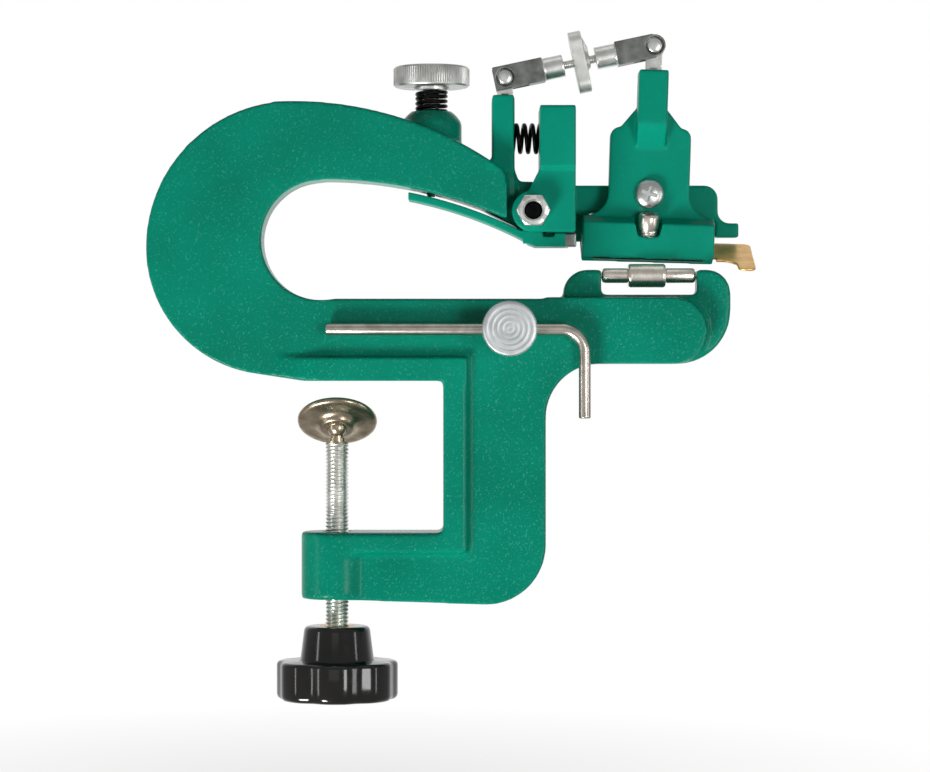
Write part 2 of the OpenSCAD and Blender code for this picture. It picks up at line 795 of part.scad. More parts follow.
module depth_knob() {
  edge = 0.6;
  d = depth_knob_d;
  color(bright_metal) translate([depth_x, depth_y, depth_knob_z]) difference() {
    union() {
      cylinder(d1 = d - 2 * edge, d2 = d, h = edge);
      translate([0, 0, edge]) cylinder(d = d, h = depth_knob_h - 2 * edge);
      translate([0, 0, depth_knob_h - edge]) cylinder(d1 = d, d2 = d - 2 * edge, h = edge);
    }
    translate([0, 0, -1]) cylinder(d = depth_d + 2 * fixed_fit, h = depth_knob_h);
  }
}

// Strip under the arm that the screw pushes down, with its ear on the main pivot
module depth_lever() {
  flat_x = pivot_x - 1.7;
  step_x = pivot_x + lug_r - 0.2;
  under_lug_z = pivot_z - lug_r - 0.8;
  head_z = lever_low_z - strip_gap_top;
  ear_half = 3.3;
  color(steel_grey) difference() {
    union() {
      slab(strip_y0, strip_y1) {
        intersection() {
          difference() {
            translate(arm_low_c) circle(strip_r1, $fn = 256);
            translate(arm_low_c) circle(strip_r0, $fn = 256);
          }
          translate([strip_end_x, strip_low_z]) square([flat_x + 1 - strip_end_x, bow_z]);
        }
        polygon([[flat_x, strip_low_z + 1], [pivot_x + 1, strip_low_z], [strip_right_x, strip_low_z],
                 [strip_right_x, head_z], [step_x, head_z], [step_x, under_lug_z], [flat_x, under_lug_z]]);
      }
      slab(strip_y0, strip_y0 + ear_plate_t) {
        translate([pivot_x, pivot_z]) circle(lug_r - 1);
        translate([pivot_x - ear_half, strip_low_z + 1]) square([2 * ear_half, pivot_z - strip_low_z - 1]);
      }
    }
    rod_y(pivot_d + 2 * run_fit, strip_y0 - 1, strip_y0 + ear_plate_t + 1, [pivot_x, pivot_z]);
    rod_y(2 * slot_r, strip_y0 + ear_plate_t, strip_y1 + 1, [pivot_x, pivot_z]);
    slab(block_y0 - 1, strip_y1 + 1) swing_cut(lever_low_z);
  }
}

module pivot_bolt() {
  color(steel_grey) {
    rod_y(pivot_d, nut_y1 - nut_t + bolt_sink, bolt_head_y0, [pivot_x, pivot_z]);
    rod_y(hex_d, bolt_head_y0, bolt_head_y0 + bolt_head_t, [pivot_x, pivot_z], 6);
  }
}

module pivot_washer() {
  y0 = rear_cheek_y1 + face_gap;
  color(steel_grey) difference() {
    rod_y(bolt_washer_d, y0, y0 + bolt_washer_t, [pivot_x, pivot_z]);
    rod_y(pivot_d + 2 * fixed_fit, y0 - 1, y0 + bolt_washer_t + 1, [pivot_x, pivot_z]);
  }
}

module pivot_nut() {
  color(bright_metal) difference() {
    rod_y(hex_d, nut_y1 - nut_t, nut_y1, [pivot_x, pivot_z], 6);
    rod_y(pivot_d + 2 * fixed_fit, nut_y1 - nut_t - 1, nut_y1 + 1, [pivot_x, pivot_z]);
  }
}

// Side of the head lever: a round about the pivot that runs into the post's foot
module cheek_outline() {
  cheek_turn = 12;
  translate([pivot_x, pivot_z]) circle(cheek_r);
  polygon([[pivot_x - cheek_r * sin(cheek_turn), pivot_z + cheek_r * cos(cheek_turn)],
           [right_face_x, post_base_z], [lever_right_x, post_base_z],
           [lever_right_x, lever_low_z], [pivot_x, lever_low_z]]);
}

// Room behind the front cheek for the blade block's end as the holder swings
module swing_cut(top_z) {
  translate([lever_right_x - swing_room, strip_low_z - 1])
    square([swing_room + 1, top_z - strip_low_z + 1]);
}

// Space between the cheeks for the lug and the strip's ear
module fork_outline() {
  translate([pivot_x, pivot_z]) circle(slot_r);
  fork_right_x = pivot_x + 3.8;
  fork_left_x = pivot_x - 3 * slot_r;
  translate([fork_left_x, strip_low_z])
    square([fork_right_x - fork_left_x, post_base_z - strip_low_z]);
}

// Bar behind the holder, with the lift tab at its right end
module rear_bar_outline() {
  end_x = holder_x + block_l / 2 - 0.6;
  tab_x0 = end_x + 1.2;
  tab_x1 = tab_x0 + 8.1;
  tab_z0 = 49;
  tab_z1 = 53.8;
  end_r = 4.7;
  hollow_r = 4;
  difference() {
    union() {
      translate([bridge_x, rear_bar_low_z]) square([tab_x0 + 1 - bridge_x, rear_bar_z - rear_bar_low_z]);
      translate([bridge_x, lever_low_z]) square([lever_right_x - bridge_x, rear_bar_z - lever_low_z]);
      translate([tab_x0, tab_z0]) square([tab_x1 - tab_x0, tab_z1 - tab_z0]);
      translate([tab_x0, tab_z1 - 1]) square([1, rear_bar_low_z - tab_z1 + 2]);
      hollow_corner(hollow_r, [tab_x0 + 1, tab_z1], 1, 1);
    }
    hollow_corner(end_r, [tab_x0 + 1, rear_bar_z], -1, -1);
  }
}

module head_lever() {
  color(casting_green) difference() {
    union() {
      difference() {
        slab(cheek_y0, rear_cheek_y1) cheek_outline();
        slab(slot_y0, slot_y1) fork_outline();
      }
      slab(post_front_y, rear_cheek_y1)
        translate([right_face_x, post_base_z]) square([right_post_t, right_post_z - post_base_z]);
      slab(rear_cheek_y1 - 2, rear_bar_y1) intersection() {
        rear_bar_outline();
        translate([bridge_x, lever_low_z]) square([lever_right_x - bridge_x, rear_bar_z - lever_low_z]);
      }
      slab(rear_bar_y0, rear_bar_y1) rear_bar_outline();
    }
    rod_y(pivot_d + 2 * run_fit, cheek_y0 - 1, rear_cheek_y1 + 1, [pivot_x, pivot_z]);
    rod_x(head_spring_d + 2 * spring_play, right_face_x - 1, right_face_x + spring_seat,
          [link_y, head_spring_z]);
    rod_y(holder_d + 2 * run_fit, rear_bar_y0 - 1, rear_bar_y1 + 1, [holder_x, holder_z]);
    slab(block_y0 - 1, rear_bar_y1 + 1) swing_cut(rear_bar_low_z);
  }
}

module head_spring() {
  color(spring_black)
    translate([left_face_x - spring_seat + spring_end_gap, link_y, head_spring_z])
      rotate([0, 90, 0]) spring(head_path, head_wire_d);
}

// Pan-head pivot screw with a cross recess
module holder_screw() {
  head_d = 10;
  recess_l = 5.6;
  recess_w = 1.1;
  recess_depth = 1.6;
  at = [holder_x, holder_z];
  head_y1 = plate_y0 - face_gap;
  color(steel_grey) difference() {
    union() {
      rod_y(head_d, head_y1 - holder_head_t + 1.2, head_y1, at);
      translate([at[0], head_y1 - holder_head_t + 1.2, at[1]]) rotate([90, 0, 0])
        cylinder(d1 = head_d, d2 = head_d - 3, h = 1.2);
      rod_y(holder_d, head_y1, rear_bar_y1 + face_gap + locknut_t, at);
    }
    for (turn = [0, 90])
      translate([at[0], head_y1 - holder_head_t, at[1]]) rotate([0, turn + 20, 0])
        cube([recess_l, 2 * recess_depth, recess_w], center = true);
  }
}

module holder_washer() {
  washer_d = 11;
  at = [holder_x, holder_z];
  y0 = plate_y1 + face_gap;
  color(steel_grey) difference() {
    rod_y(washer_d, y0, y0 + holder_washer_t, at);
    rod_y(holder_d + 2 * run_fit, y0 - 1, y0 + holder_washer_t + 1, at);
  }
}

module holder_locknut() {
  at = [holder_x, holder_z];
  y0 = rear_bar_y1 + face_gap;
  color(steel_grey) difference() {
    rod_y(locknut_af / cos(30), y0, y0 + locknut_t, at, 6);
    rod_y(holder_d + 2 * fixed_fit, y0 - 1, y0 + locknut_t + 1, at);
  }
}

// Face of the holder: plate, shoulders and flared foot
module holder_plate_outline() {
  half = plate_w / 2;
  foot = block_top - 1;
  round_x = half - shoulder_r;
  round_z = plate_top - shoulder_r;
  translate([-half, foot]) square([plate_w, round_z - foot]);
  for (x = [-round_x, round_x]) translate([x, round_z]) circle(shoulder_r);
  polygon([[-round_x, round_z - 1], [round_x, round_z - 1], [round_x, plate_top],
           [shoulder_w / 2, shoulder_top], [-shoulder_w / 2, shoulder_top], [-round_x, plate_top]]);
  hollow_corner(flare_r, [half, block_top + block_rise], 1, 1);
  hollow_corner(flare_r, [-half, block_top + block_rise], -1, 1);
}

// Section of the blade block: a nose in front of the brass plate, upper jaw, back wall and
// lower lip round a sloping slot
module block_section() {
  slot_y = slot_end * cos(blade_slope);
  top_n = blade_t + brass_t + brass_gap + slot_play;
  nose_n = blade_t + slot_play;
  polygon([[block_y0, slope_at(block_y0, nose_n)], [block_y0, block_top],
           [plate_y0, block_top + block_rise], [plate_y1, block_top + block_rise],
           [plate_y1, slope_at(plate_y1, top_n + jaw_t)], [block_y1, slope_at(block_y1, top_n + jaw_t)],
           [block_y1, slope_at(block_y1, -lip_t)], [lip_y0, slope_at(lip_y0, -lip_t)],
           [lip_y0, slope_at(lip_y0, -slot_play)], [slot_y, slope_at(slot_y, -slot_play)],
           [slot_y, slope_at(slot_y, top_n)], [nose_y, slope_at(nose_y, top_n)],
           [nose_y, slope_at(nose_y, nose_n)]]);
}

module blade_holder() {
  top_n = blade_t + brass_t + brass_gap;
  color(casting_green) difference() {
    in_holder() {
      slab(plate_y0, plate_y1) holder_plate_outline();
      bar_x(-block_l / 2, block_l / 2) block_section();
      bar_x(-top_post_w / 2, top_post_w / 2)
        polygon([[top_post_y0, top_post_h], [top_post_y0 + top_post_t, top_post_h],
                 [top_post_y0 + top_post_t, shoulder_top], [plate_y1, shoulder_top],
                 [plate_y1, post_ramp_low], [plate_y0, post_ramp_low], [top_post_y0, post_ramp_high]]);
    }
    in_holder() rod_y(holder_d + 2 * run_fit, plate_y0 - 1, plate_y1 + 1, [0, 0]);
    in_holder() translate([0, link_y, top_post_h - eye_shank_l])
      cylinder(d = eye_shank_d + 2 * fixed_fit, h = eye_shank_l + 1);
    on_slope() translate([0, set_y, top_n]) cylinder(d = set_d + 2 * fixed_fit, h = set_l + 4);
    intersection() {
      on_slope() translate([0, set_y, notch_h]) cylinder(d = notch_d, h = set_l);
      translate([holder_x - notch_d, -notch_d, 0])
        cube([2 * notch_d, notch_d + plate_y0 + notch_sink, 2 * holder_z]);
    }
  }
}

// Socket set screw that presses the brass plate on the blade
module set_screw() {
  socket_af = 3;
  socket_l = 4;
  color(steel_grey) on_slope()
    translate([0, set_y, blade_t + brass_t + brass_gap + face_gap]) difference() {
      cylinder(d = set_d, h = set_l);
      translate([0, 0, set_l - socket_l]) cylinder(d = socket_af / cos(30), h = socket_l + 1, $fn = 6);
    }
}

// Brass plate: narrow in the slot, with a wide grip at its right end
module pressure_plate() {
  left = blade_l / 2;
  right = block_l / 2 + grip_reach;
  back = 19.4;
  grip_l = 6;
  grip_front = -8.6;
  neck_front = 0.5;
  hollow_r = 5;
  grip_r = 2.5;
  color(brass_yellow) on_slope() translate([0, 0, blade_t + brass_gap / 2]) linear_extrude(brass_t)
    difference() {
      union() {
        translate([-left, brass_front]) square([left + right, back - brass_front]);
        translate([block_l / 2 + 0.6, neck_front]) square([right - block_l / 2 - 0.6, back - neck_front]);
        translate([right - grip_l, grip_front]) square([grip_l, back - grip_front]);
        hollow_corner(hollow_r, [right - grip_l, neck_front], -1, -1);
      }
      hollow_corner(grip_r, [right, grip_front], -1, 1);
      hollow_corner(grip_r, [right - grip_l, grip_front], 1, 1);
      hollow_corner(grip_r, [right, back], -1, -1);
    }
}

// Two-edged blade with clipped corners and a slotted middle
module razor_blade() {
  half = blade_l / 2;
  clip_x = 3;
  clip_y = 3.5;
  slot_w = 2.5;
  slot_l = 26;
  hole_d = 4;
  color(bright_metal) on_slope() linear_extrude(blade_t) difference() {
    union() {
      translate([-half + clip_x, 0]) square([blade_l - 2 * clip_x, blade_w]);
      translate([-half, clip_y]) square([blade_l, blade_w - 2 * clip_y]);
    }
    translate([-slot_l / 2, (blade_w - slot_w) / 2]) square([slot_l, slot_w]);
    for (x = [-slot_l / 2, 0, slot_l / 2]) translate([x, blade_w / 2]) circle(d = hole_d);
  }
}

// Eye on a threaded shank: a flat tongue with the pin's hole, about its own pin
module link_eye(stem, hole_d) {
  difference() {
    union() {
      slab(-eye_t / 2, eye_t / 2) {
        circle(eye_r);
        translate([-eye_stem_w / 2, -stem]) square([eye_stem_w, stem]);
      }
      translate([0, 0, -stem - eye_shank_l + 0.5]) cylinder(d = eye_shank_d, h = eye_shank_l);
    }
    rod_y(hole_d, -eye_t, eye_t, [0, 0]);
  }
}

module left_eye() {
  color(steel_grey) translate([link_x, link_y, link_z])
    link_eye(link_z - left_post_z, pin_d + 2 * loose_fit);
}

module right_eye() {
  color(steel_grey) in_holder() translate([0, link_y, link_h])
    link_eye(link_h - top_post_h, pin_d + 2 * run_fit);
}

// Forked end, with its pin at the origin and its neck along +X
module clevis(round_end) {
  half = clevis_w / 2;
  slot_w = eye_t + 2 * side_gap;
  difference() {
    union() {
      intersection() {
        translate([-clevis_back, -half, -half]) cube([clevis_back + clevis_front, clevis_w, clevis_w]);
        if (round_end) union() {
          rod_y(2 * clevis_back, -half, half, [0, 0]);
          translate([0, -half, -half]) cube([clevis_front, clevis_w, clevis_w]);
        }
      }
      rod_x(neck_d, clevis_front, neck_end, [0, 0]);
    }
    translate([-clevis_back - 1, -slot_w / 2, -clevis_w])
      cube([clevis_back + 1 + clevis_slot, slot_w, 2 * clevis_w]);
    rod_x(rod_d + 2 * run_fit, clevis_slot - 1, neck_end + 1, [0, 0]);
    rod_y(pin_d + 2 * run_fit, -clevis_w, clevis_w, [0, 0]);
    rod_y(pin_sink_d, -half - 1, -half + pin_sink, [0, 0]);
    rod_y(pin_sink_d, half - pin_sink, half + 1, [0, 0]);
  }
}

// Riveted pin whose heads lie in the clevis's sinks
module link_pin() {
  half = clevis_w / 2;
  inner = half - pin_sink + face_gap;
  rod_y(pin_d, -inner, inner, [0, 0]);
  rod_y(pin_head_d, -inner - pin_head_t, -inner, [0, 0]);
  rod_y(pin_head_d, inner, inner + pin_head_t, [0, 0]);
}

module left_clevis() {
  color(steel_grey) in_link() clevis(false);
}

module right_clevis() {
  color(steel_grey) in_link() translate([link_l, 0, 0]) rotate([0, 0, 180]) clevis(true);
}

module left_clevis_pin() {
  color(bright_metal) in_link() link_pin();
}

module right_clevis_pin() {
  color(bright_metal) in_link() translate([link_l, 0, 0]) link_pin();
}

// Rod that swivels in the left clevis by its head and is threaded in the right one
module turnbuckle_rod() {
  head_d = eye_t + 0.4;
  head_t = 1.1;
  head_x = clevis_slot - face_gap - head_t;
  color(steel_grey) in_link() {
    rod_x(head_d, head_x, head_x + head_t, [0, 0]);
    rod_x(rod_d, head_x, link_l - clevis_front + 4, [0, 0]);
  }
}

// Wing on the rod: two rounded leaves on a coned hub, with a web behind the upper one
module wing() {
  leaf_w = 7.5;
  leaf_end = wing_span / 2 - leaf_w / 2;
  web_h = 8.6;
  web_foot = 4.4;
  web_l = 3.4;
  color(steel_grey) in_link() difference() {
    union() {
      translate([wing_start, 0, 0]) rotate([0, 90, 0]) cylinder(d1 = hub_d - 1, d2 = hub_d, h = wing_t);
      translate([wing_start + wing_t, 0, 0]) rotate([0, 90, 0])
        cylinder(d1 = hub_d, d2 = hub_d - 2, h = hub_end - wing_start - wing_t);
      bar_x(wing_start, wing_start + wing_t) {
        translate([-leaf_w / 2, -leaf_end]) square([leaf_w, 2 * leaf_end]);
        translate([0, leaf_end]) circle(d = leaf_w);
        translate([0, -leaf_end]) circle(d = leaf_w);
      }
      slab(-web_l / 2, web_l / 2)
        polygon([[wing_start + 1, 1], [hub_end, 1], [hub_end, web_foot], [wing_start + wing_t, web_h],
                 [wing_start + 1, web_h]]);
    }
    rod_x(rod_d + 2 * fixed_fit, wing_start - 1, hub_end + 1, [0, 0]);
  }
}

frame();
pad_collar();
clamp_pad();
clamp_screw();
clamp_knob();
clamp_knob_insert();
roller();
guide_post();
guide_bush();
guide_rod();
guide_knob();
depth_washer();
depth_spring();
depth_screw();
depth_knob();
depth_lever();
pivot_bolt();
pivot_washer();
pivot_nut();
head_lever();
head_spring();
holder_screw();
holder_washer();
holder_locknut();
blade_holder();
set_screw();
pressure_plate();
razor_blade();
left_eye();
left_clevis_pin();
left_clevis();
turnbuckle_rod();
wing();
right_clevis();
right_clevis_pin();
right_eye();
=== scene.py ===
"""Dressed model of a clamped bench machine that thins the edges of leather.

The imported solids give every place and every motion. Each class below dresses one
sub-assembly: it rounds the castings, cuts the threads, winds the springs and gives every
piece its finish. Sizes are in millimetres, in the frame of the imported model.
"""

import logging
import math
from collections.abc import Callable
from dataclasses import dataclass
from enum import Enum
from typing import Any

import bmesh
import bpy
from mathutils import Matrix, Vector


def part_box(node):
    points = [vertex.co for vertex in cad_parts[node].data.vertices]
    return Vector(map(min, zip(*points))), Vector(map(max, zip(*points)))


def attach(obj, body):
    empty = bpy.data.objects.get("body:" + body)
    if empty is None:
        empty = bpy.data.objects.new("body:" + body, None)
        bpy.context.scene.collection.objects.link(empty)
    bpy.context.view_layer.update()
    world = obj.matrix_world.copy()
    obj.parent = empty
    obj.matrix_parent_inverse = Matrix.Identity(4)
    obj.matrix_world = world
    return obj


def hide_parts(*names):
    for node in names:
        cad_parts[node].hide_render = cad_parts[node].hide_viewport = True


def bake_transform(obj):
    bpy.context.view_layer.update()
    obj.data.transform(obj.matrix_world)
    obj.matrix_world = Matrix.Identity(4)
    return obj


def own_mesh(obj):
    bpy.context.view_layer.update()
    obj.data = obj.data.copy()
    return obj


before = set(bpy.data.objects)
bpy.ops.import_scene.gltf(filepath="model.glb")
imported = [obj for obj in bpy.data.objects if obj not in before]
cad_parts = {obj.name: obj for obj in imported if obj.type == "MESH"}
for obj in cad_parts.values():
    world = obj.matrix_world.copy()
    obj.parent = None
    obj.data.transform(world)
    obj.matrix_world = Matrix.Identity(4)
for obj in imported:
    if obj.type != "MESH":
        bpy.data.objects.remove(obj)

LOG = logging.getLogger("skiving_machine")
MM = 0.001
TINY = 1e-6
RUN_OUT = 0.35
WHITE = (1.0, 1.0, 1.0, 1.0)
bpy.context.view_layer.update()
Point = tuple[float, float]
Triple = tuple[float, float, float]
Swell = Callable[[float, float, float], float]
Prism = tuple[list[Vector], Vector]
Piece = bpy.types.Object
Material = bpy.types.Material
Tree = bpy.types.NodeTree
Node = bpy.types.Node
Socket = bpy.types.NodeSocket


class Slot(Enum):
    """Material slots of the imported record."""

    CASTING = "casting"
    STEEL = "steel"
    NICKEL = "nickel"
    ALUMINIUM = "aluminium"
    PLASTIC = "black_plastic"
    SPRING = "spring_steel"
    BRASS = "brass"


class Grain(Enum):
    """How a metal surface was made, which sets the run of its fine marks."""

    CAST = "cast"
    DRAWN = "drawn"
    TURNED = "turned"


class Axis(Enum):
    """Main direction of a turned piece, as the turn from +Z."""

    X = Matrix.Rotation(math.radians(90), 4, "Y")
    Y = Matrix.Rotation(math.radians(-90), 4, "X")
    Z = Matrix.Identity(4)


def linear(hex_colour: str) -> tuple[float, float, float, float]:
    """Turns an sRGB hex colour, such as #01876e, to linear red, green and blue with an alpha of 1."""
    parts = [int(hex_colour[i:i + 2], 16) / 255 for i in (1, 3, 5)]
    light = [p / 12.92 if p <= 0.04045 else ((p + 0.055) / 1.055) ** 2.4 for p in parts]
    return light[0], light[1], light[2], 1.0


def add_node(tree: Tree, kind: str, inputs: dict[Any, Any] | None = None, **settings: Any) -> Node:
    """Adds a node with its settings and links.

    Args:
        tree: the node tree.
        kind: the node's type name.
        inputs: values or output sockets, by input name or index.
        settings: the node's own properties.

    Returns:
        The new node.
    """
    node = tree.nodes.new(kind)
    for name, value in settings.items():
        setattr(node, name, value)
    for key, value in (inputs or {}).items():
        if isinstance(value, Socket):
            tree.links.new(value, node.inputs[key])
        else:
            node.inputs[key].default_value = value
    return node


def seen_directly(tree: Tree) -> Socket:
    """Gives 1 for rays from the camera, also through clear things, and 0 for all others."""
    path = add_node(tree, "ShaderNodeLightPath")
    seen = add_node(tree, "ShaderNodeMath",
                    {0: path.outputs["Is Camera Ray"], 1: path.outputs["Is Transmission Ray"]},
                    operation="MAXIMUM")
    return seen.outputs[0]


def new_material(name: str) -> tuple[Material, Tree, Node]:
    """Starts a material, and gives it with its tree and its surface shader."""
    material = bpy.data.materials.new(name)
    material.use_nodes = True
    tree = material.node_tree
    return material, tree, tree.nodes["Principled BSDF"]


def link_finish(tree: Tree, shader: Node, colour: Socket, roughness: Socket, height: Socket, depth_mm: float,
                bump: float) -> None:
    """Gives a material's shader its colour, roughness and bumps.

    Args:
        tree: the material's tree.
        shader: its surface shader.
        colour: the base colour.
        roughness: the roughness.
        height: height of the bumps, from 0 to 1.
        depth_mm: what a height of 1 measures.
        bump: strength of the bumps.
    """
    normal = add_node(tree, "ShaderNodeBump", {"Strength": bump, "Distance": depth_mm * MM, "Height": height})
    for name, socket in (("Base Color", colour), ("Roughness", roughness), ("Normal", normal.outputs[0])):
        tree.links.new(socket, shader.inputs[name])


@dataclass(frozen=True)
class StovedEnamel:
    """Stoved enamel on cast iron: a thick coat with small dimples, and flecks where it is hammered, whose
    paler colour is partly painted glint.
    """

    name: str
    body: str
    deep: str
    pale: str
    fleck_mm: float
    fleck_share: float
    cloud_mm: float
    roughness: float
    dimple_depth_mm: float
    shine: float
    fleck_edge: Point = (0.57, 0.72)
    cloud_edge: Point = (0.3, 0.7)
    broad_share: float = 0.6
    bump: float = 0.6
    ior: float = 1.5

    def material(self) -> Material:
        """Makes the enamel: dimples catch the lamps, and flecks are paler than the ground, a colour that
        partly paints the glints off the dimples.
        """
        material, tree, shader = new_material(self.name)
        place = add_node(tree, "ShaderNodeTexCoord").outputs["Object"]
        fine = add_node(tree, "ShaderNodeTexNoise",
                        {"Vector": place, "Scale": 1 / (2 * self.fleck_mm * MM), "Detail": 2.0,
                         "Roughness": 0.6})
        broad = add_node(tree, "ShaderNodeTexNoise",
                         {"Vector": place, "Scale": 1 / (6 * self.fleck_mm * MM), "Detail": 1.0})
        fleck_and_glint = add_node(tree, "ShaderNodeMapRange",
                         {"Value": fine.outputs[0], "From Min": self.fleck_edge[0],
                          "From Max": self.fleck_edge[1], "To Max": self.fleck_share})
        height = add_node(tree, "ShaderNodeMath",
                          {0: broad.outputs[0], 1: self.broad_share, 2: fleck_and_glint.outputs[0]},
                          operation="MULTIPLY_ADD")
        cloud = add_node(tree, "ShaderNodeTexNoise",
                         {"Vector": place, "Scale": 1 / (self.cloud_mm * MM), "Detail": 3.0})
        tone = add_node(tree, "ShaderNodeMapRange",
                        {"Value": cloud.outputs[0], "From Min": self.cloud_edge[0],
                         "From Max": self.cloud_edge[1]})
        ground = add_node(tree, "ShaderNodeMix",
                          {0: tone.outputs[0], 6: linear(self.deep), 7: linear(self.body)}, data_type="RGBA")
        # Pale colour on the flecks: partly the paint's own flecks, partly painted glints off the dimples
        colour = add_node(tree, "ShaderNodeMix",
                          {0: fleck_and_glint.outputs[0], 6: ground.outputs[2], 7: linear(self.pale)}, data_type="RGBA")
        gloss = add_node(tree, "ShaderNodeMapRange",
                         {"Value": cloud.outputs[0], "To Min": self.roughness - 0.05,
                          "To Max": self.roughness + 0.07})
        link_finish(tree, shader, colour.outputs[2], gloss.outputs[0], height.outputs[0],
                    self.dimple_depth_mm, self.bump)
        shader.inputs["IOR"].default_value = self.ior
        shader.inputs["Specular IOR Level"].default_value = self.shine
        return material


@dataclass(frozen=True)
class BareMetal:
    """A metal or plated metal, with the fine marks that its making left."""

    name: str
    body: str
    stain: str
    roughness: float
    grain: Grain
    mark_mm: float
    mark_depth_mm: float
    axis: str = "Z"
    centre: Triple = (0.0, 0.0, 0.0)
    stain_mm: float = 4
    stain_edge: Point = (0.35, 0.7)
    stretch: float = 0.04
    bump: float = 0.5

    def marks(self, tree: Tree, place: Socket) -> Socket:
        """Makes the height of the fine marks.

        Args:
            tree: the material's tree.
            place: object coordinates, centred on the piece.

        Returns:
            The socket with the height, from 0 to 1.
        """
        if self.grain is Grain.TURNED:
            # A ring wave has one turn in 2 pi / 20 of its unit
            wave = add_node(tree, "ShaderNodeTexWave",
                            {"Vector": place, "Scale": math.tau / 20 / (self.mark_mm * MM),
                             "Distortion": 1.2, "Detail": 1.0, "Detail Scale": 0.6},
                            wave_type="RINGS", rings_direction=self.axis)
            return wave.outputs["Fac"]
        drawn = self.grain is Grain.DRAWN
        scale = tuple(self.stretch if drawn and axis == self.axis else 1 for axis in "XYZ")
        along = add_node(tree, "ShaderNodeMapping", {"Vector": place, "Scale": scale})
        noise = add_node(tree, "ShaderNodeTexNoise",
                         {"Vector": along.outputs[0], "Scale": 1 / (self.mark_mm * MM), "Detail": 3.0})
        return noise.outputs[0]

    def material(self) -> Material:
        """Makes the metal: soft stains, fine marks and a gloss that follows them."""
        material, tree, shader = new_material(self.name)
        place = add_node(tree, "ShaderNodeTexCoord").outputs["Object"]
        offset = tuple(-c * MM for c in self.centre)
        centred = add_node(tree, "ShaderNodeMapping", {"Vector": place, "Location": offset})
        height = self.marks(tree, centred.outputs[0])
        cloud = add_node(tree, "ShaderNodeTexNoise",
                         {"Vector": place, "Scale": 1 / (self.stain_mm * MM), "Detail": 4.0})
        tone = add_node(tree, "ShaderNodeMapRange",
                        {"Value": cloud.outputs[0], "From Min": self.stain_edge[0],
                         "From Max": self.stain_edge[1]})
        colour = add_node(tree, "ShaderNodeMix",
                          {0: tone.outputs[0], 6: linear(self.body), 7: linear(self.stain)}, data_type="RGBA")
        gloss = add_node(tree, "ShaderNodeMapRange",
                         {"Value": height, "To Min": self.roughness - 0.05, "To Max": self.roughness + 0.08})
        link_finish(tree, shader, colour.outputs[2], gloss.outputs[0], height, self.mark_depth_mm, self.bump)
        shader.inputs["Metallic"].default_value = 1.0
        return material


@dataclass(frozen=True)
class MouldedPlastic:
    """Pressed phenolic plastic: near black, with a hard gloss and a slight ripple."""

    name: str
    body: str
    worn: str
    roughness: float
    ripple_mm: float
    ripple_depth_mm: float = 0.03
    bump: float = 0.25
    ior: float = 1.6
    shine: float = 0.4

    def material(self) -> Material:
        """Makes the plastic: the ripple breaks up the long highlights a little."""
        material, tree, shader = new_material(self.name)
        place = add_node(tree, "ShaderNodeTexCoord").outputs["Object"]
        ripple = add_node(tree, "ShaderNodeTexNoise",
                          {"Vector": place, "Scale": 1 / (self.ripple_mm * MM), "Detail": 2.0})
        colour = add_node(tree, "ShaderNodeMix",
                          {0: ripple.outputs[0], 6: linear(self.body), 7: linear(self.worn)},
                          data_type="RGBA")
        gloss = add_node(tree, "ShaderNodeMapRange",
                         {"Value": ripple.outputs[0], "To Min": self.roughness - 0.04,
                          "To Max": self.roughness + 0.08})
        link_finish(tree, shader, colour.outputs[2], gloss.outputs[0], ripple.outputs[0],
                    self.ripple_depth_mm, self.bump)
        shader.inputs["IOR"].default_value = self.ior
        shader.inputs["Specular IOR Level"].default_value = self.shine
        return material


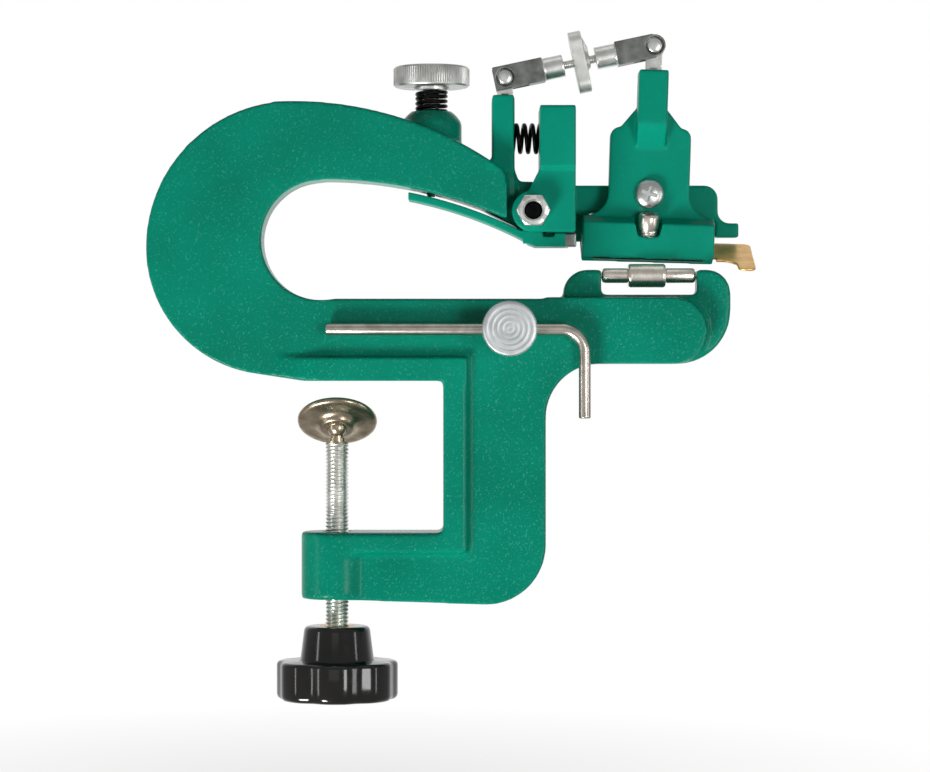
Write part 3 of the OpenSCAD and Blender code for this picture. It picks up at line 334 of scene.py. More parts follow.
class Finishes:
    """Every finish on the machine, made once."""

    def __init__(self) -> None:
        """Makes the materials."""
        cast, drawn, turned = Grain.CAST, Grain.DRAWN, Grain.TURNED
        # Hammer enamel on the frame: deep green, with faint flecks of about half a millimetre, their pale
        # colour partly painted glints
        self.hammered = StovedEnamel("hammer_enamel_green", "#01876e", "#01775f", "#35a68c",
                                     0.42, 0.5, 30.0, 0.22, 0.2, 0.1).material()
        # Plain enamel on the head: nearly the same green, satin
        self.enamel = StovedEnamel("satin_enamel_green", "#04937a", "#03876d", "#1fa488",
                                   0.7, 0.2, 22.0, 0.34, 0.03, 0.08).material()
        # Zinc plate on small fittings: pale grey with a soft sheen
        self.zinc = BareMetal("zinc_plated_steel", "#eeefec", "#cccdc8", 0.29, cast, 0.5, 0.02).material()
        # Milled clevis sides: darker, with marks along X; on the strip's bare end the same dark grey is
        # painted shade over bare metal
        self.milled_and_shade_grey = BareMetal("milled_zinc_steel_and_painted_shade", "#8a8d89", "#5f625f", 0.36, drawn, 0.35, 0.03,
                                "X").material()
        # Cast and tumbled zinc on the wing: pale grey, slightly rough
        self.cast_zinc = BareMetal("tumbled_cast_zinc", "#e6e7e3", "#cdcec9", 0.46, cast, 0.6,
                                   0.05).material()
        # Drawn rod, nickel plated: warm grey, with long faint lines
        self.rod = BareMetal("nickel_plated_rod", "#ccc4ba", "#aea69c", 0.27, drawn, 0.3, 0.006,
                             "X").material()
        # Ground steel on the roller and the set screw: pale, with very shallow marks along Y
        self.ground = BareMetal("ground_roller_steel", "#f2eae0", "#d6cec3", 0.27, drawn, 0.25, 0.003,
                                "Y").material()
        # Rolled threads: pale grey
        self.thread = BareMetal("rolled_thread_steel", "#f0f0ec", "#d2d2cc", 0.34, cast, 0.4, 0.02).material()
        # Nickel on the pressed pad: warm, with broad stains
        self.nickel = BareMetal("bright_nickel_plate", "#b8aa94", "#8d806b", 0.26, cast, 2.0, 0.01).material()
        # Zinc on the pan-head screw: cool grey with a soft sheen
        self.bright = BareMetal("polished_zinc_steel", "#d3d6d3", "#b8bbb8", 0.33, cast, 0.8, 0.01).material()
        # Turned aluminium: pale and dull, with rings about the thumb screw's own axis
        self.turned = BareMetal("turned_aluminium", "#cbcfd0", "#b6babb", 0.48, turned, 0.9, 0.02, "Y",
                                (57.7, 0.0, 17.2)).material()
        # Knurled aluminium: pale grey
        self.knurled = BareMetal("knurled_aluminium", "#d2d3d0", "#b2b3af", 0.38, drawn, 0.5, 0.02).material()
        # Black oxide on the springs and the pivot bolt: dark, with a low oily sheen; on the bolt the dark
        # also paints the shade on its end in the nut's bore
        self.oxide_and_bore_shade = BareMetal("black_oxide_wire_and_bore_shade", "#1b1b1c", "#101011", 0.36, cast, 0.5, 0.01).material()
        # Rolled brass sheet: satin, golden
        self.brass = BareMetal("rolled_brass", "#f2c983", "#dcae66", 0.4, drawn, 0.35, 0.012, "X").material()
        # Ground blade strip: cool grey, with marks along the edge
        self.blade = BareMetal("ground_blade_strip", "#b9bdc0", "#9a9ea2", 0.24, drawn, 0.2, 0.004,
                               "X").material()
        # Pressed phenolic knob: hard black gloss
        self.plastic = MouldedPlastic("pressed_phenolic", "#0a0908", "#141210", 0.1, 3.0).material()


def new_object(name: str, data: bpy.types.ID) -> Piece:
    """Puts a mesh, a lamp or a camera in the scene, at the origin."""
    obj = bpy.data.objects.new(name, data)
    bpy.context.scene.collection.objects.link(obj)
    return obj


def set_plain(obj: Piece) -> Piece:
    """Turns an object's live modifiers into a plain mesh, and gives the object."""
    bpy.context.view_layer.update()
    graph = bpy.context.evaluated_depsgraph_get()
    mesh = bpy.data.meshes.new_from_object(obj.evaluated_get(graph), depsgraph=graph)
    mesh.name = obj.name
    obj.modifiers.clear()
    obj.data = mesh
    return obj


def smooth_by_angle(obj: Piece, degrees: float = 35.0) -> None:
    """Shades an object smooth, apart from edges past an angle in degrees."""
    mesh = obj.data
    mesh.shade_smooth()
    mesh.set_sharp_from_angle(angle=math.radians(degrees))


def dress(obj: Piece, body: str | None, slot: Slot, replaced: tuple[str, ...], *finishes: Material) -> None:
    """Gives a piece its finishes, its body and the solids that it stands for.

    Args:
        obj: the finished piece.
        body: the body that it moves with, or None for a piece that is attached to no body.
        slot: the record's material slot; not used.
        replaced: nodes that it stands for.
        finishes: its materials, in the order of its faces' indices.
    """
    mesh = obj.data
    indices = [0] * len(mesh.polygons)
    mesh.polygons.foreach_get("material_index", indices)
    mesh.materials.clear()
    for finish in finishes:
        mesh.materials.append(finish)
    mesh.polygons.foreach_set("material_index", [min(i, len(finishes) - 1) for i in indices])
    if body is not None:
        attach(obj, body)
    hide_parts(*replaced)
    LOG.info("%s: %d faces on %s", obj.name, len(obj.data.polygons), body)


def coat(node: str, finish: Material) -> None:
    """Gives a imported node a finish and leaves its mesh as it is."""
    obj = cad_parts[node]
    for slot in obj.material_slots:
        slot.material = finish
    if not obj.material_slots:
        obj.data.materials.append(finish)
    LOG.info("%s: packed solid, %s", node, finish.name)


def add_prism(work: bmesh.types.BMesh, prism: Prism) -> None:
    """Adds a closed prism to a mesh.

    Args:
        work: the mesh, in metres.
        prism: corners of one end and the way to the other end, in millimetres.
    """
    outline, run = prism
    near = [work.verts.new(p * MM) for p in outline]
    far = [work.verts.new((p + run) * MM) for p in outline]
    faces = [work.faces.new(near), work.faces.new(list(reversed(far)))]
    for i in range(len(near)):
        j = (i + 1) % len(near)
        faces.append(work.faces.new((near[j], near[i], far[i], far[j])))
    bmesh.ops.recalc_face_normals(work, faces=faces)


def brick(low: Triple, high: Triple) -> Prism:
    """Makes a square-cornered lump from its lowest and highest corners, in millimetres."""
    (x0, y0, z0), (x1, y1, z1) = low, high
    outline = [Vector((x0, y0, z0)), Vector((x1, y0, z0)), Vector((x1, y0, z1)), Vector((x0, y0, z1))]
    return outline, Vector((0, y1 - y0, 0))


def soften(name: str, node: str, voxel_mm: float, passes: int, lumps: list[Prism] | None = None) -> Piece:
    """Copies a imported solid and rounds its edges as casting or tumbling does.

    Args:
        name: the new piece's name.
        node: the node to copy.
        voxel_mm: size of the new mesh's cells.
        passes: smoothing passes; more make rounder edges.
        lumps: what the casting has besides.

    Returns:
        The rounded piece, at the origin.
    """
    obj = new_object(name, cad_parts[node].data.copy())
    work = bmesh.new()
    work.from_mesh(obj.data)
    bmesh.ops.remove_doubles(work, verts=work.verts, dist=1e-3 * MM)
    for lump in lumps or []:
        add_prism(work, lump)
    work.to_mesh(obj.data)
    work.free()
    remesh = obj.modifiers.new("cells", "REMESH")
    remesh.mode = "VOXEL"
    remesh.voxel_size = voxel_mm * MM
    remesh.use_smooth_shade = True
    smooth = obj.modifiers.new("rounding", "SMOOTH")
    smooth.factor = 0.5
    smooth.iterations = passes
    set_plain(obj)
    obj.data.shade_smooth()
    return obj


def place_at(at: Triple, axis: Axis = Axis.Z) -> Matrix:
    """Makes a turned piece's place: its origin, in millimetres, and where its +Z points."""
    return Matrix.Translation(Vector(at)) @ axis.value


def turn(name: str, profile: list[Point], place: Matrix, sides: int = 96,
         swell: Swell | None = None) -> Piece:
    """Turns a profile about its axis.

    Args:
        name: the piece's name.
        profile: radius and height of each point; both ends lie on the axis, or meet for a ring.
        place: from the piece's own axes to the frame, in millimetres.
        sides: faces round the axis.
        swell: what to add to the radius, from the radius, the height and the angle.

    Returns:
        The turned piece, with its faces outwards.
    """
    work = bmesh.new()
    ring_shaped = profile[0] == profile[-1]
    rings = []
    for radius, height in profile[:-1] if ring_shaped else profile:
        ring = []
        for i in range(1 if radius < TINY else sides):
            angle = math.tau * i / sides
            r = radius + (swell(radius, height, angle) if swell and radius > TINY else 0.0)
            ring.append(work.verts.new(place @ Vector((r * math.cos(angle), r * math.sin(angle),
                                                       height)) * MM))
        rings.append(ring)
    following = rings[1:] + rings[:1] if ring_shaped else rings[1:]
    for low, high in zip(rings, following):
        for i in range(sides):
            a, b = low[i % len(low)], low[(i + 1) % len(low)]
            c, d = high[(i + 1) % len(high)], high[i % len(high)]
            corners = list(dict.fromkeys((a, b, c, d)))
            if len(corners) > 2:
                work.faces.new(corners)
    bmesh.ops.recalc_face_normals(work, faces=work.faces)
    mesh = bpy.data.meshes.new(name)
    work.to_mesh(mesh)
    work.free()
    obj = new_object(name, mesh)
    smooth_by_angle(obj)
    return obj


def thread_profile(radius: float, start: float, end: float, pitch: float, steps: int = 6) -> list[Point]:
    """Lists the points of a threaded bar's side, close enough to hold the thread.

    Args:
        radius: crest radius.
        start: first height.
        end: last height.
        pitch: height of one turn of the thread.
        steps: points for each turn.

    Returns:
        Radius and height of each point.
    """
    count = max(2, round((end - start) / pitch * steps))
    return [(radius, start + (end - start) * i / count) for i in range(count + 1)]


def thread_swell(radius: float, start: float, end: float, pitch: float, depth: float) -> Swell:
    """Makes the cut of a thread, run out at both ends.

    Args:
        radius: crest radius.
        start: first height of the thread.
        end: last height of the thread.
        pitch: height of one turn.
        depth: depth of the roots.

    Returns:
        What to add to the radius, from the radius, the height and the angle.
    """
    def cut(at_radius: float, height: float, angle: float) -> float:
        """Gives the depth of the thread at one point, below zero."""
        if abs(at_radius - radius) > TINY:
            return 0.0
        phase = (height / pitch - angle / math.tau) % 1.0
        ends = min(1.0, max(0.0, (height - start) / pitch), max(0.0, (end - height) / pitch))
        return -depth * (RUN_OUT + (1 - RUN_OUT) * ends) * abs(2 * phase - 1)
    return cut


def hexagon(name: str, across: float, start: float, end: float, place: Matrix, bore: float = 0.0,
            stem: list[Point] | None = None) -> Piece:
    """Makes a hexagon nut, or a bolt with a hexagon head, with its corners turned off.

    Args:
        name: the piece's name.
        across: size across flats.
        start: first height of the hexagon.
        end: its last height.
        place: from its own axes to the frame, in millimetres.
        bore: diameter of a nut's hole.
        stem: points of a bolt's shank, from its far end to the head.

    Returns:
        The piece.
    """
    corner = across / math.sqrt(3)
    steep = math.tan(math.radians(60))

    def flats(radius: float, height: float, angle: float) -> float:
        """Pulls the rim in to the flats, and in to a cone at both ends."""
        if abs(radius - corner) > TINY:
            return 0.0
        flat = across / 2 / math.cos(angle % (math.pi / 3) - math.pi / 6)
        cone = 0.97 * across / 2 + steep * min(height - start, end - height)
        return min(flat, cone) - corner

    shares = (0.0, 0.04, 0.08, 0.12, 0.16, 0.5, 0.84, 0.88, 0.92, 0.96, 1.0)
    rim = [(corner, start + share * (end - start)) for share in shares]
    hole, lip = bore / 2, 0.06 * across
    if bore > 0:
        profile = [(hole, end - lip), (hole + lip, end), *reversed(rim), (hole + lip, start),
                   (hole, start + lip),
                   (hole, end - lip)]
    else:
        profile = [*(stem or [(0.0, start)]), *rim, (0.0, end)]
    return turn(name, profile, place, 96, flats)


def cut_away(obj: Piece, tool: Piece) -> None:
    """Cuts the tool's solid out of a piece and deletes the tool."""
    cut = obj.modifiers.new("cut", "BOOLEAN")
    cut.operation = "DIFFERENCE"
    cut.solver = "EXACT"
    cut.object = tool
    set_plain(obj)
    bpy.data.objects.remove(tool)
    smooth_by_angle(obj)


class NodeTools:
    """Geometry node trees for what repeats or follows a path."""

    def __init__(self) -> None:
        """Builds both trees."""
        self.sweep_tree = self.make_sweep()
        self.knurl_tree = self.make_knurl()

    @staticmethod
    def start_tree(name: str, inputs: dict[str, str]) -> tuple[Tree, Node]:
        """Starts a tree from its input names and socket types, and gives it with its input node."""
        tree = bpy.data.node_groups.new(name, "GeometryNodeTree")
        for label, kind in inputs.items():
            tree.interface.new_socket(label, in_out="INPUT", socket_type=kind)
        tree.interface.new_socket("Piece", in_out="OUTPUT", socket_type="NodeSocketGeometry")
        return tree, add_node(tree, "NodeGroupInput")

    @staticmethod
    def end_tree(tree: Tree, shape: Socket, finish: Socket) -> None:
        """Ends a tree in real faces with their finish."""
        real = add_node(tree, "GeometryNodeRealizeInstances", {"Geometry": shape})
        done = add_node(tree, "GeometryNodeSetMaterial", {"Geometry": real.outputs[0], "Material": finish})
        add_node(tree, "NodeGroupOutput", {"Piece": done.outputs[0]})

    def make_sweep(self) -> Tree:
        """Builds the tree that draws a round wire along a path."""
        tree, given = self.start_tree("wire_along_path", {
            "Path": "NodeSocketGeometry", "Wire Diameter": "NodeSocketFloat",
            "Sides": "NodeSocketInt", "Finish": "NodeSocketMaterial"})
        half = add_node(tree, "ShaderNodeMath", {0: given.outputs["Wire Diameter"], 1: 0.5},
                        operation="MULTIPLY")
        ring = add_node(tree, "GeometryNodeCurvePrimitiveCircle",
                        {"Resolution": given.outputs["Sides"], "Radius": half.outputs[0]})
        path = add_node(tree, "GeometryNodeMeshToCurve", {0: given.outputs["Path"]})
        wire = add_node(tree, "GeometryNodeCurveToMesh",
                        {"Curve": path.outputs[0], "Profile Curve": ring.outputs[0], "Fill Caps": True})
        self.end_tree(tree, wire.outputs[0], given.outputs["Finish"])
        return tree

    def make_knurl(self) -> Tree:
        """Builds the tree that stands straight ridges round a knob's rim."""
        tree, given = self.start_tree("ridges_round_rim", {
            "Knob": "NodeSocketGeometry", "Rim Radius": "NodeSocketFloat", "Ridge Count": "NodeSocketInt",
            "Ridge Depth": "NodeSocketFloat", "Ridge Length": "NodeSocketFloat",
            "Place": "NodeSocketVector", "Turn": "NodeSocketRotation", "Finish": "NodeSocketMaterial"})
        rim = add_node(tree, "GeometryNodeMeshCircle",
                       {"Vertices": given.outputs["Ridge Count"], "Radius": given.outputs["Rim Radius"]})
        ridge = add_node(tree, "GeometryNodeMeshCylinder",
                         {"Vertices": 4, "Radius": given.outputs["Ridge Depth"],
                          "Depth": given.outputs["Ridge Length"]})
        step = add_node(tree, "ShaderNodeMath", {0: math.tau, 1: given.outputs["Ridge Count"]},
                        operation="DIVIDE")
        index = add_node(tree, "GeometryNodeInputIndex")
        angle = add_node(tree, "ShaderNodeMath", {0: index.outputs[0], 1: step.outputs[0]},
                         operation="MULTIPLY")
        facing = add_node(tree, "ShaderNodeCombineXYZ", {"Z": angle.outputs[0]})
        ridges = add_node(tree, "GeometryNodeInstanceOnPoints",
                          {"Points": rim.outputs[0], "Instance": ridge.outputs["Mesh"],
                           "Rotation": facing.outputs[0]})
        placed = add_node(tree, "GeometryNodeTransform",
                          {"Geometry": ridges.outputs[0], "Translation": given.outputs["Place"],
                           "Rotation": given.outputs["Turn"]})
        joined = add_node(tree, "GeometryNodeJoinGeometry")
        tree.links.new(given.outputs["Knob"], joined.inputs[0])
        tree.links.new(placed.outputs[0], joined.inputs[0])
        self.end_tree(tree, joined.outputs[0], given.outputs["Finish"])
        return tree

    @staticmethod
    def run(obj: Piece, tree: Tree, values: dict[str, Any]) -> Piece:
        """Runs a tree on an object and keeps the result as a plain mesh.

        Args:
            obj: the object with the tree's first geometry.
            tree: the tree.
            values: the other inputs, by name.

        Returns:
            The object.
        """
        modifier = obj.modifiers.new(tree.name, "NODES")
        modifier.node_group = tree
        for item in tree.interface.items_tree:
            if item.in_out == "INPUT" and item.name in values:
                modifier[item.identifier] = values[item.name]
        return set_plain(obj)

    def wire(self, name: str, path: list[Vector], diameter: float, finish: Material,
             sides: int = 16) -> Piece:
        """Draws a wire along a path.

        Args:
            name: the piece's name.
            path: its points, in millimetres.
            diameter: the wire's diameter, in millimetres.
            finish: its material.
            sides: faces round the wire.

        Returns:
            The piece.
        """
        mesh = bpy.data.meshes.new(name)
        mesh.from_pydata([p * MM for p in path], [(i, i + 1) for i in range(len(path) - 1)], [])
        obj = self.run(new_object(name, mesh), self.sweep_tree,
                       {"Wire Diameter": diameter * MM, "Sides": sides, "Finish": finish})
        smooth_by_angle(obj, 50.0)
        return obj

    def knurl(self, obj: Piece, radius: float, count: int, depth: float, length: float,
              at: Triple, turned: Triple, finish: Material) -> None:
        """Stands ridges round a knob.

        Args:
            obj: the knob.
            radius: rim radius, in millimetres.
            count: number of ridges.
            depth: how far a ridge stands out, in millimetres.
            length: length of a ridge, in millimetres.
            at: middle of the rim, in millimetres.
            turned: turn of the knob's axis from +Z, in radians.
            finish: the material of knob and ridges.
        """
        self.run(obj, self.knurl_tree, {
            "Rim Radius": radius * MM, "Ridge Count": count, "Ridge Depth": depth * MM,
            "Ridge Length": length * MM, "Place": tuple(c * MM for c in at), "Turn": turned,
            "Finish": finish})
        smooth_by_angle(obj)


@dataclass
class SpringCoil:
    """An open coil with its last turns laid closed."""

    diameter: float
    wire: float
    length: float
    turns: float
    closed: float = 1.0
    steps_per_turn: int = 28

    def path(self, place: Matrix) -> list[Vector]:
        """Winds the wire's middle line; the place turns its own axis to the frame, in millimetres."""
        radius = (self.diameter - self.wire) / 2
        steps = round(self.turns * self.steps_per_turn)
        rise = self.length - self.wire
        shut = self.closed * self.wire
        points = []
        for i in range(steps + 1):
            t = i / steps * self.turns
            if t < self.closed:
                height = t * self.wire
            elif t > self.turns - self.closed:
                height = rise - (self.turns - t) * self.wire
            else:
                height = shut + (t - self.closed) / (self.turns - 2 * self.closed) * (rise - 2 * shut)
            angle = math.tau * t
            points.append(place @ Vector((radius * math.cos(angle), radius * math.sin(angle),
                                          height + self.wire / 2)))
        return points


@dataclass
class FrameCasting:
    """The C-shaped casting that clamps to the bench and carries everything else."""

    finishes: Finishes
    voxel: float = 0.75
    passes: int = 5
    post_x: float = 50.0
    post_z: float = 70.0
    web_y: float = 9.4
    flange_top: float = -1.0
    crown_passes: int = 22

    def crown(self, body: Piece) -> None:
        """Rounds the front and back of the flange, under the jaw that meets the bench."""
        group = body.vertex_groups.new(name="flange")
        proud = [v.index for v in body.data.vertices
                 if abs(v.co.y) > self.web_y * MM and v.co.z < self.flange_top * MM]
        group.add(proud, 1.0, "REPLACE")
        smooth = body.modifiers.new("crown", "SMOOTH")
        smooth.factor = 0.5
        smooth.iterations = self.crown_passes
        smooth.vertex_group = group.name
        set_plain(body)
        body.vertex_groups.clear()

    def build(self) -> None:
        """Rounds the casting; its post has the plain enamel of the head."""
        body = soften("frame_casting", "frame", self.voxel, self.passes)
        self.crown(body)
        for face in body.data.polygons:
            at = face.center / MM
            face.material_index = int(at.x > self.post_x and at.z > self.post_z)
        dress(body, "frame", Slot.CASTING, ("frame",), self.finishes.hammered, self.finishes.enamel)


@dataclass
class BenchClamp:
    """Screw, swivel pad and star knob under the bench mouth."""

    finishes: Finishes
    screw_d: float = 8.0
    pitch: float = 1.25
    depth: float = 0.62
    screw_low: float = -91.3
    screw_top: float = -20.35
    pin_hole_d: float = 4.1
    pin_hole_z: float = -25.65
    ball_z: float = -15.7
    cup_r: float = 3.45
    pad_tilt: float = 34.0
    knob_low: float = -107.0
    knob_step: float = -94.0
    knob_top: float = -82.3
    knob_r: float = 20.5
    hub_low_r: float = 12.3
    hub_top_r: float = 11.0
    insert_r: float = 6.02
    insert_low: float = -92.3
    lobes: int = 7
    groove_depth: float = 1.3

    def build_screw(self) -> None:
        """Rolls the thread on the clamp screw, with the hole for the pad's pin."""
        r = self.screw_d / 2
        low, top = self.screw_low, self.screw_top
        span = (low + 0.8, top - 0.8, self.pitch)
        profile = [(0.0, low), (r - 0.8, low), *thread_profile(r, *span), (r - 0.9, top),
                   (self.pin_hole_d / 2, top), (self.pin_hole_d / 2, self.pin_hole_z), (0.0, self.pin_hole_z)]
        screw = turn("clamp_screw_thread", profile, Matrix.Identity(4), 40,
                     thread_swell(r, *span, self.depth))
        dress(screw, "clamp_screw", Slot.STEEL, ("clamp_screw",), self.finishes.thread)

    def build_pad(self) -> None:
        """Presses the dished pad, with its rolled rim and its cup for the ball."""
        cup = [(self.cup_r * math.sin(math.radians(a)), self.cup_r * math.cos(math.radians(a)))
               for a in range(0, 106, 5)]
        under = [(5.1, -0.9), (5.6, -0.7), (6.0, -0.2), (6.4, 0.4), (7.1, 0.95), (8.2, 1.3), (10.2, 1.45),
                 (12.0, 1.6), (12.8, 1.8), (13.2, 2.15), (13.35, 2.6), (13.35, 3.1), (13.1, 3.5),
                 (12.5, 3.75),
                 (11.7, 4.25), (10.9, 4.9), (10.2, 5.15), (9.2, 5.2), (0.0, 5.2)]
        place = Matrix.Translation((0, 0, self.ball_z)) @ Matrix.Rotation(math.radians(-self.pad_tilt), 4,
                                                                          "X")
        pad = turn("clamp_pad_disc", cup + under, place)
        pad.data.shade_smooth()
        dress(pad, "clamp_pad", Slot.NICKEL, ("clamp_pad",), self.finishes.nickel)

    def groove(self, radius: float, height: float, angle: float) -> float:
        """Pulls the rim in between its lobes, by the same amount at every height."""
        if radius < self.hub_low_r + 2:
            return 0.0
        wave = math.cos(self.lobes * (angle + math.pi / 2 - math.pi / self.lobes))
        return -self.groove_depth * ((1 + wave) / 2) ** 2.2

    def build_knob(self) -> None:
        """Presses the star knob: a tapered hub on a rim with soft lobes."""
        r, low, step, top = self.knob_r, self.knob_low, self.knob_step, self.knob_top
        rim = [(r - 1.9, low), (r - 0.9, low + 0.3), (r - 0.25, low + 0.95), (r, low + 1.9), (r, step - 1.3),
               (r - 0.2, step - 0.7), (r - 0.7, step - 0.2), (r - 1.5, step)]
        hub = [(self.hub_low_r + 1.2, step), (self.hub_low_r + 0.3, step + 0.3), (self.hub_low_r, step + 1.0),
               (self.hub_top_r + 0.15, top - 1.6), (self.hub_top_r - 0.1, top - 0.8),
               (self.hub_top_r - 0.6, top - 0.25),
               (self.hub_top_r - 1.4, top)]
        socket = [(self.insert_r, top), (self.insert_r, self.insert_low), (0.0, self.insert_low)]
        knob = turn("clamp_star_knob", [(0.0, low), *rim, *hub, *socket], Matrix.Identity(4), 252,
                    self.groove)
        dress(knob, "clamp_screw", Slot.PLASTIC, ("clamp_knob",), self.finishes.plastic)

    def build(self) -> None:
        """Builds the clamp."""
        self.build_screw()
        self.build_pad()
        self.build_knob()
        coat("pad_collar", self.finishes.nickel)
        coat("clamp_knob_insert", self.finishes.brass)


@dataclass
class AnvilRoller:
    """Stepped roller under the blade."""

    finishes: Finishes
    height: float = 35.4
    left: float = 89.0
    right: float = 120.4
    mid_left: float = 97.7
    mid_right: float = 110.5
    radius: float = 4.0
    shoulder: float = 2.5
    journal: float = 1.0
    journal_l: float = 2.8

    def build(self) -> None:
        """Turns the roller with eased steps."""
        r, s, j = self.radius, self.shoulder, self.journal
        x0, x1, m0, m1 = self.left, self.right, self.mid_left, self.mid_right
        half = [(0.0, x0 - self.journal_l), (j - 0.2, x0 - self.journal_l), (j, x0 - self.journal_l + 0.2),
                (j, x0),
                (s - 0.9, x0), (s - 0.3, x0 + 0.3), (s, x0 + 1.0), (s, m0 - 0.3), (s - 0.15, m0 - 0.15),
                (s - 0.15, m0), (r - 0.9, m0), (r - 0.35, m0 + 0.25), (r, m0 + 0.9)]
        middle = (x0 + x1) / 2
        offset = (m0 + m1) / 2 - middle
        other = [(radius, 2 * middle - h + (2 * offset if h > m0 - 0.5 else 0.0)) for radius,
                 h in reversed(half)]
        band = [(r - 0.06 * (i % 2), m0 + 1.2 + (m1 - m0 - 2.4) * i / 24) for i in range(25)]
        roller = turn("anvil_roller", half + band + other, place_at((0, 0, self.height), Axis.X))
        dress(roller, "roller", Slot.STEEL, ("roller",), self.finishes.ground)


@dataclass
class EdgeGuide:
    """Bent rod, its bush and post, and the thumb screw that holds it."""

    finishes: Finishes
    tools: NodeTools
    rod_d: float = 4.0
    y: float = -12.6
    z: float = 17.2
    end_x: float = -3.3
    leg_x: float = 82.8
    leg_z: float = -12.5
    bend_r: float = 8.0
    knob_x: float = 57.7
    knob_r: float = 9.25
    knob_front: float = -24.7
    knob_back: float = -16.9
    stub_r: float = 2.5
    stub_end: float = -15.65
    ridge: float = 0.28
    ridges: int = 84
    ring_steps: int = 48
    ring_pitch: float = 1.7
    ring_depth: float = 0.04

    def build_rod(self) -> None:
        """Bends the rod, with eased ends."""
        bend_x, bend_z = self.leg_x - self.bend_r, self.z - self.bend_r
        path = [Vector((self.end_x, self.y, self.z)), Vector((bend_x - 4, self.y, self.z))]
        for i in range(25):
            a = math.radians(90 - 90 * i / 24)
            path.append(Vector((bend_x + self.bend_r * math.cos(a), self.y,
                                bend_z + self.bend_r * math.sin(a))))
        path += [Vector((self.leg_x, self.y, bend_z - 4)), Vector((self.leg_x, self.y, self.leg_z))]
        rod = self.tools.wire("guide_rod_bent", path, self.rod_d, self.finishes.rod, 32)
        ease = rod.modifiers.new("ends", "BEVEL")
        ease.width = 0.45 * MM
        ease.segments = 3
        ease.limit_method = "ANGLE"
        ease.angle_limit = math.radians(60)
        set_plain(rod)
        smooth_by_angle(rod, 50.0)
        dress(rod, "guide_rod", Slot.STEEL, ("guide_rod",), self.finishes.rod)

    def build_knob(self) -> None:
        """Turns the thumb screw: rings on its face, ridges on its rim."""
        front, back = self.knob_front, self.knob_back
        rim = self.knob_r - self.ridge
        rings = []
        for i in range(self.ring_steps + 1):
            radius = (rim - 1.1) * i / self.ring_steps
            wave = math.cos(math.tau * radius / self.ring_pitch)
            rings.append((radius, front + self.ring_depth * (1 + wave)))
        profile = [*rings, (rim - 0.7, front), (rim - 0.2, front + 0.25), (rim, front + 0.7),
                   (rim, back - 0.6),
                   (rim - 0.6, back), (self.stub_r, back), (self.stub_r, self.stub_end - 0.3),
                   (self.stub_r - 0.3, self.stub_end), (0.0, self.stub_end)]
        knob = turn("guide_thumb_screw", profile, place_at((self.knob_x, 0, self.z), Axis.Y))
        middle = (front + back) / 2
        self.tools.knurl(knob, rim - 0.05, self.ridges, self.ridge, back - front - 1.6,
                         (self.knob_x, middle, self.z), (math.radians(-90), 0, 0), self.finishes.turned)
        dress(knob, "guide_knob", Slot.ALUMINIUM, ("guide_knob",), self.finishes.turned)

    def build(self) -> None:
        """Builds the guide."""
        self.build_rod()
        self.build_knob()
        coat("guide_post", self.finishes.zinc)
        coat("guide_bush", self.finishes.brass)


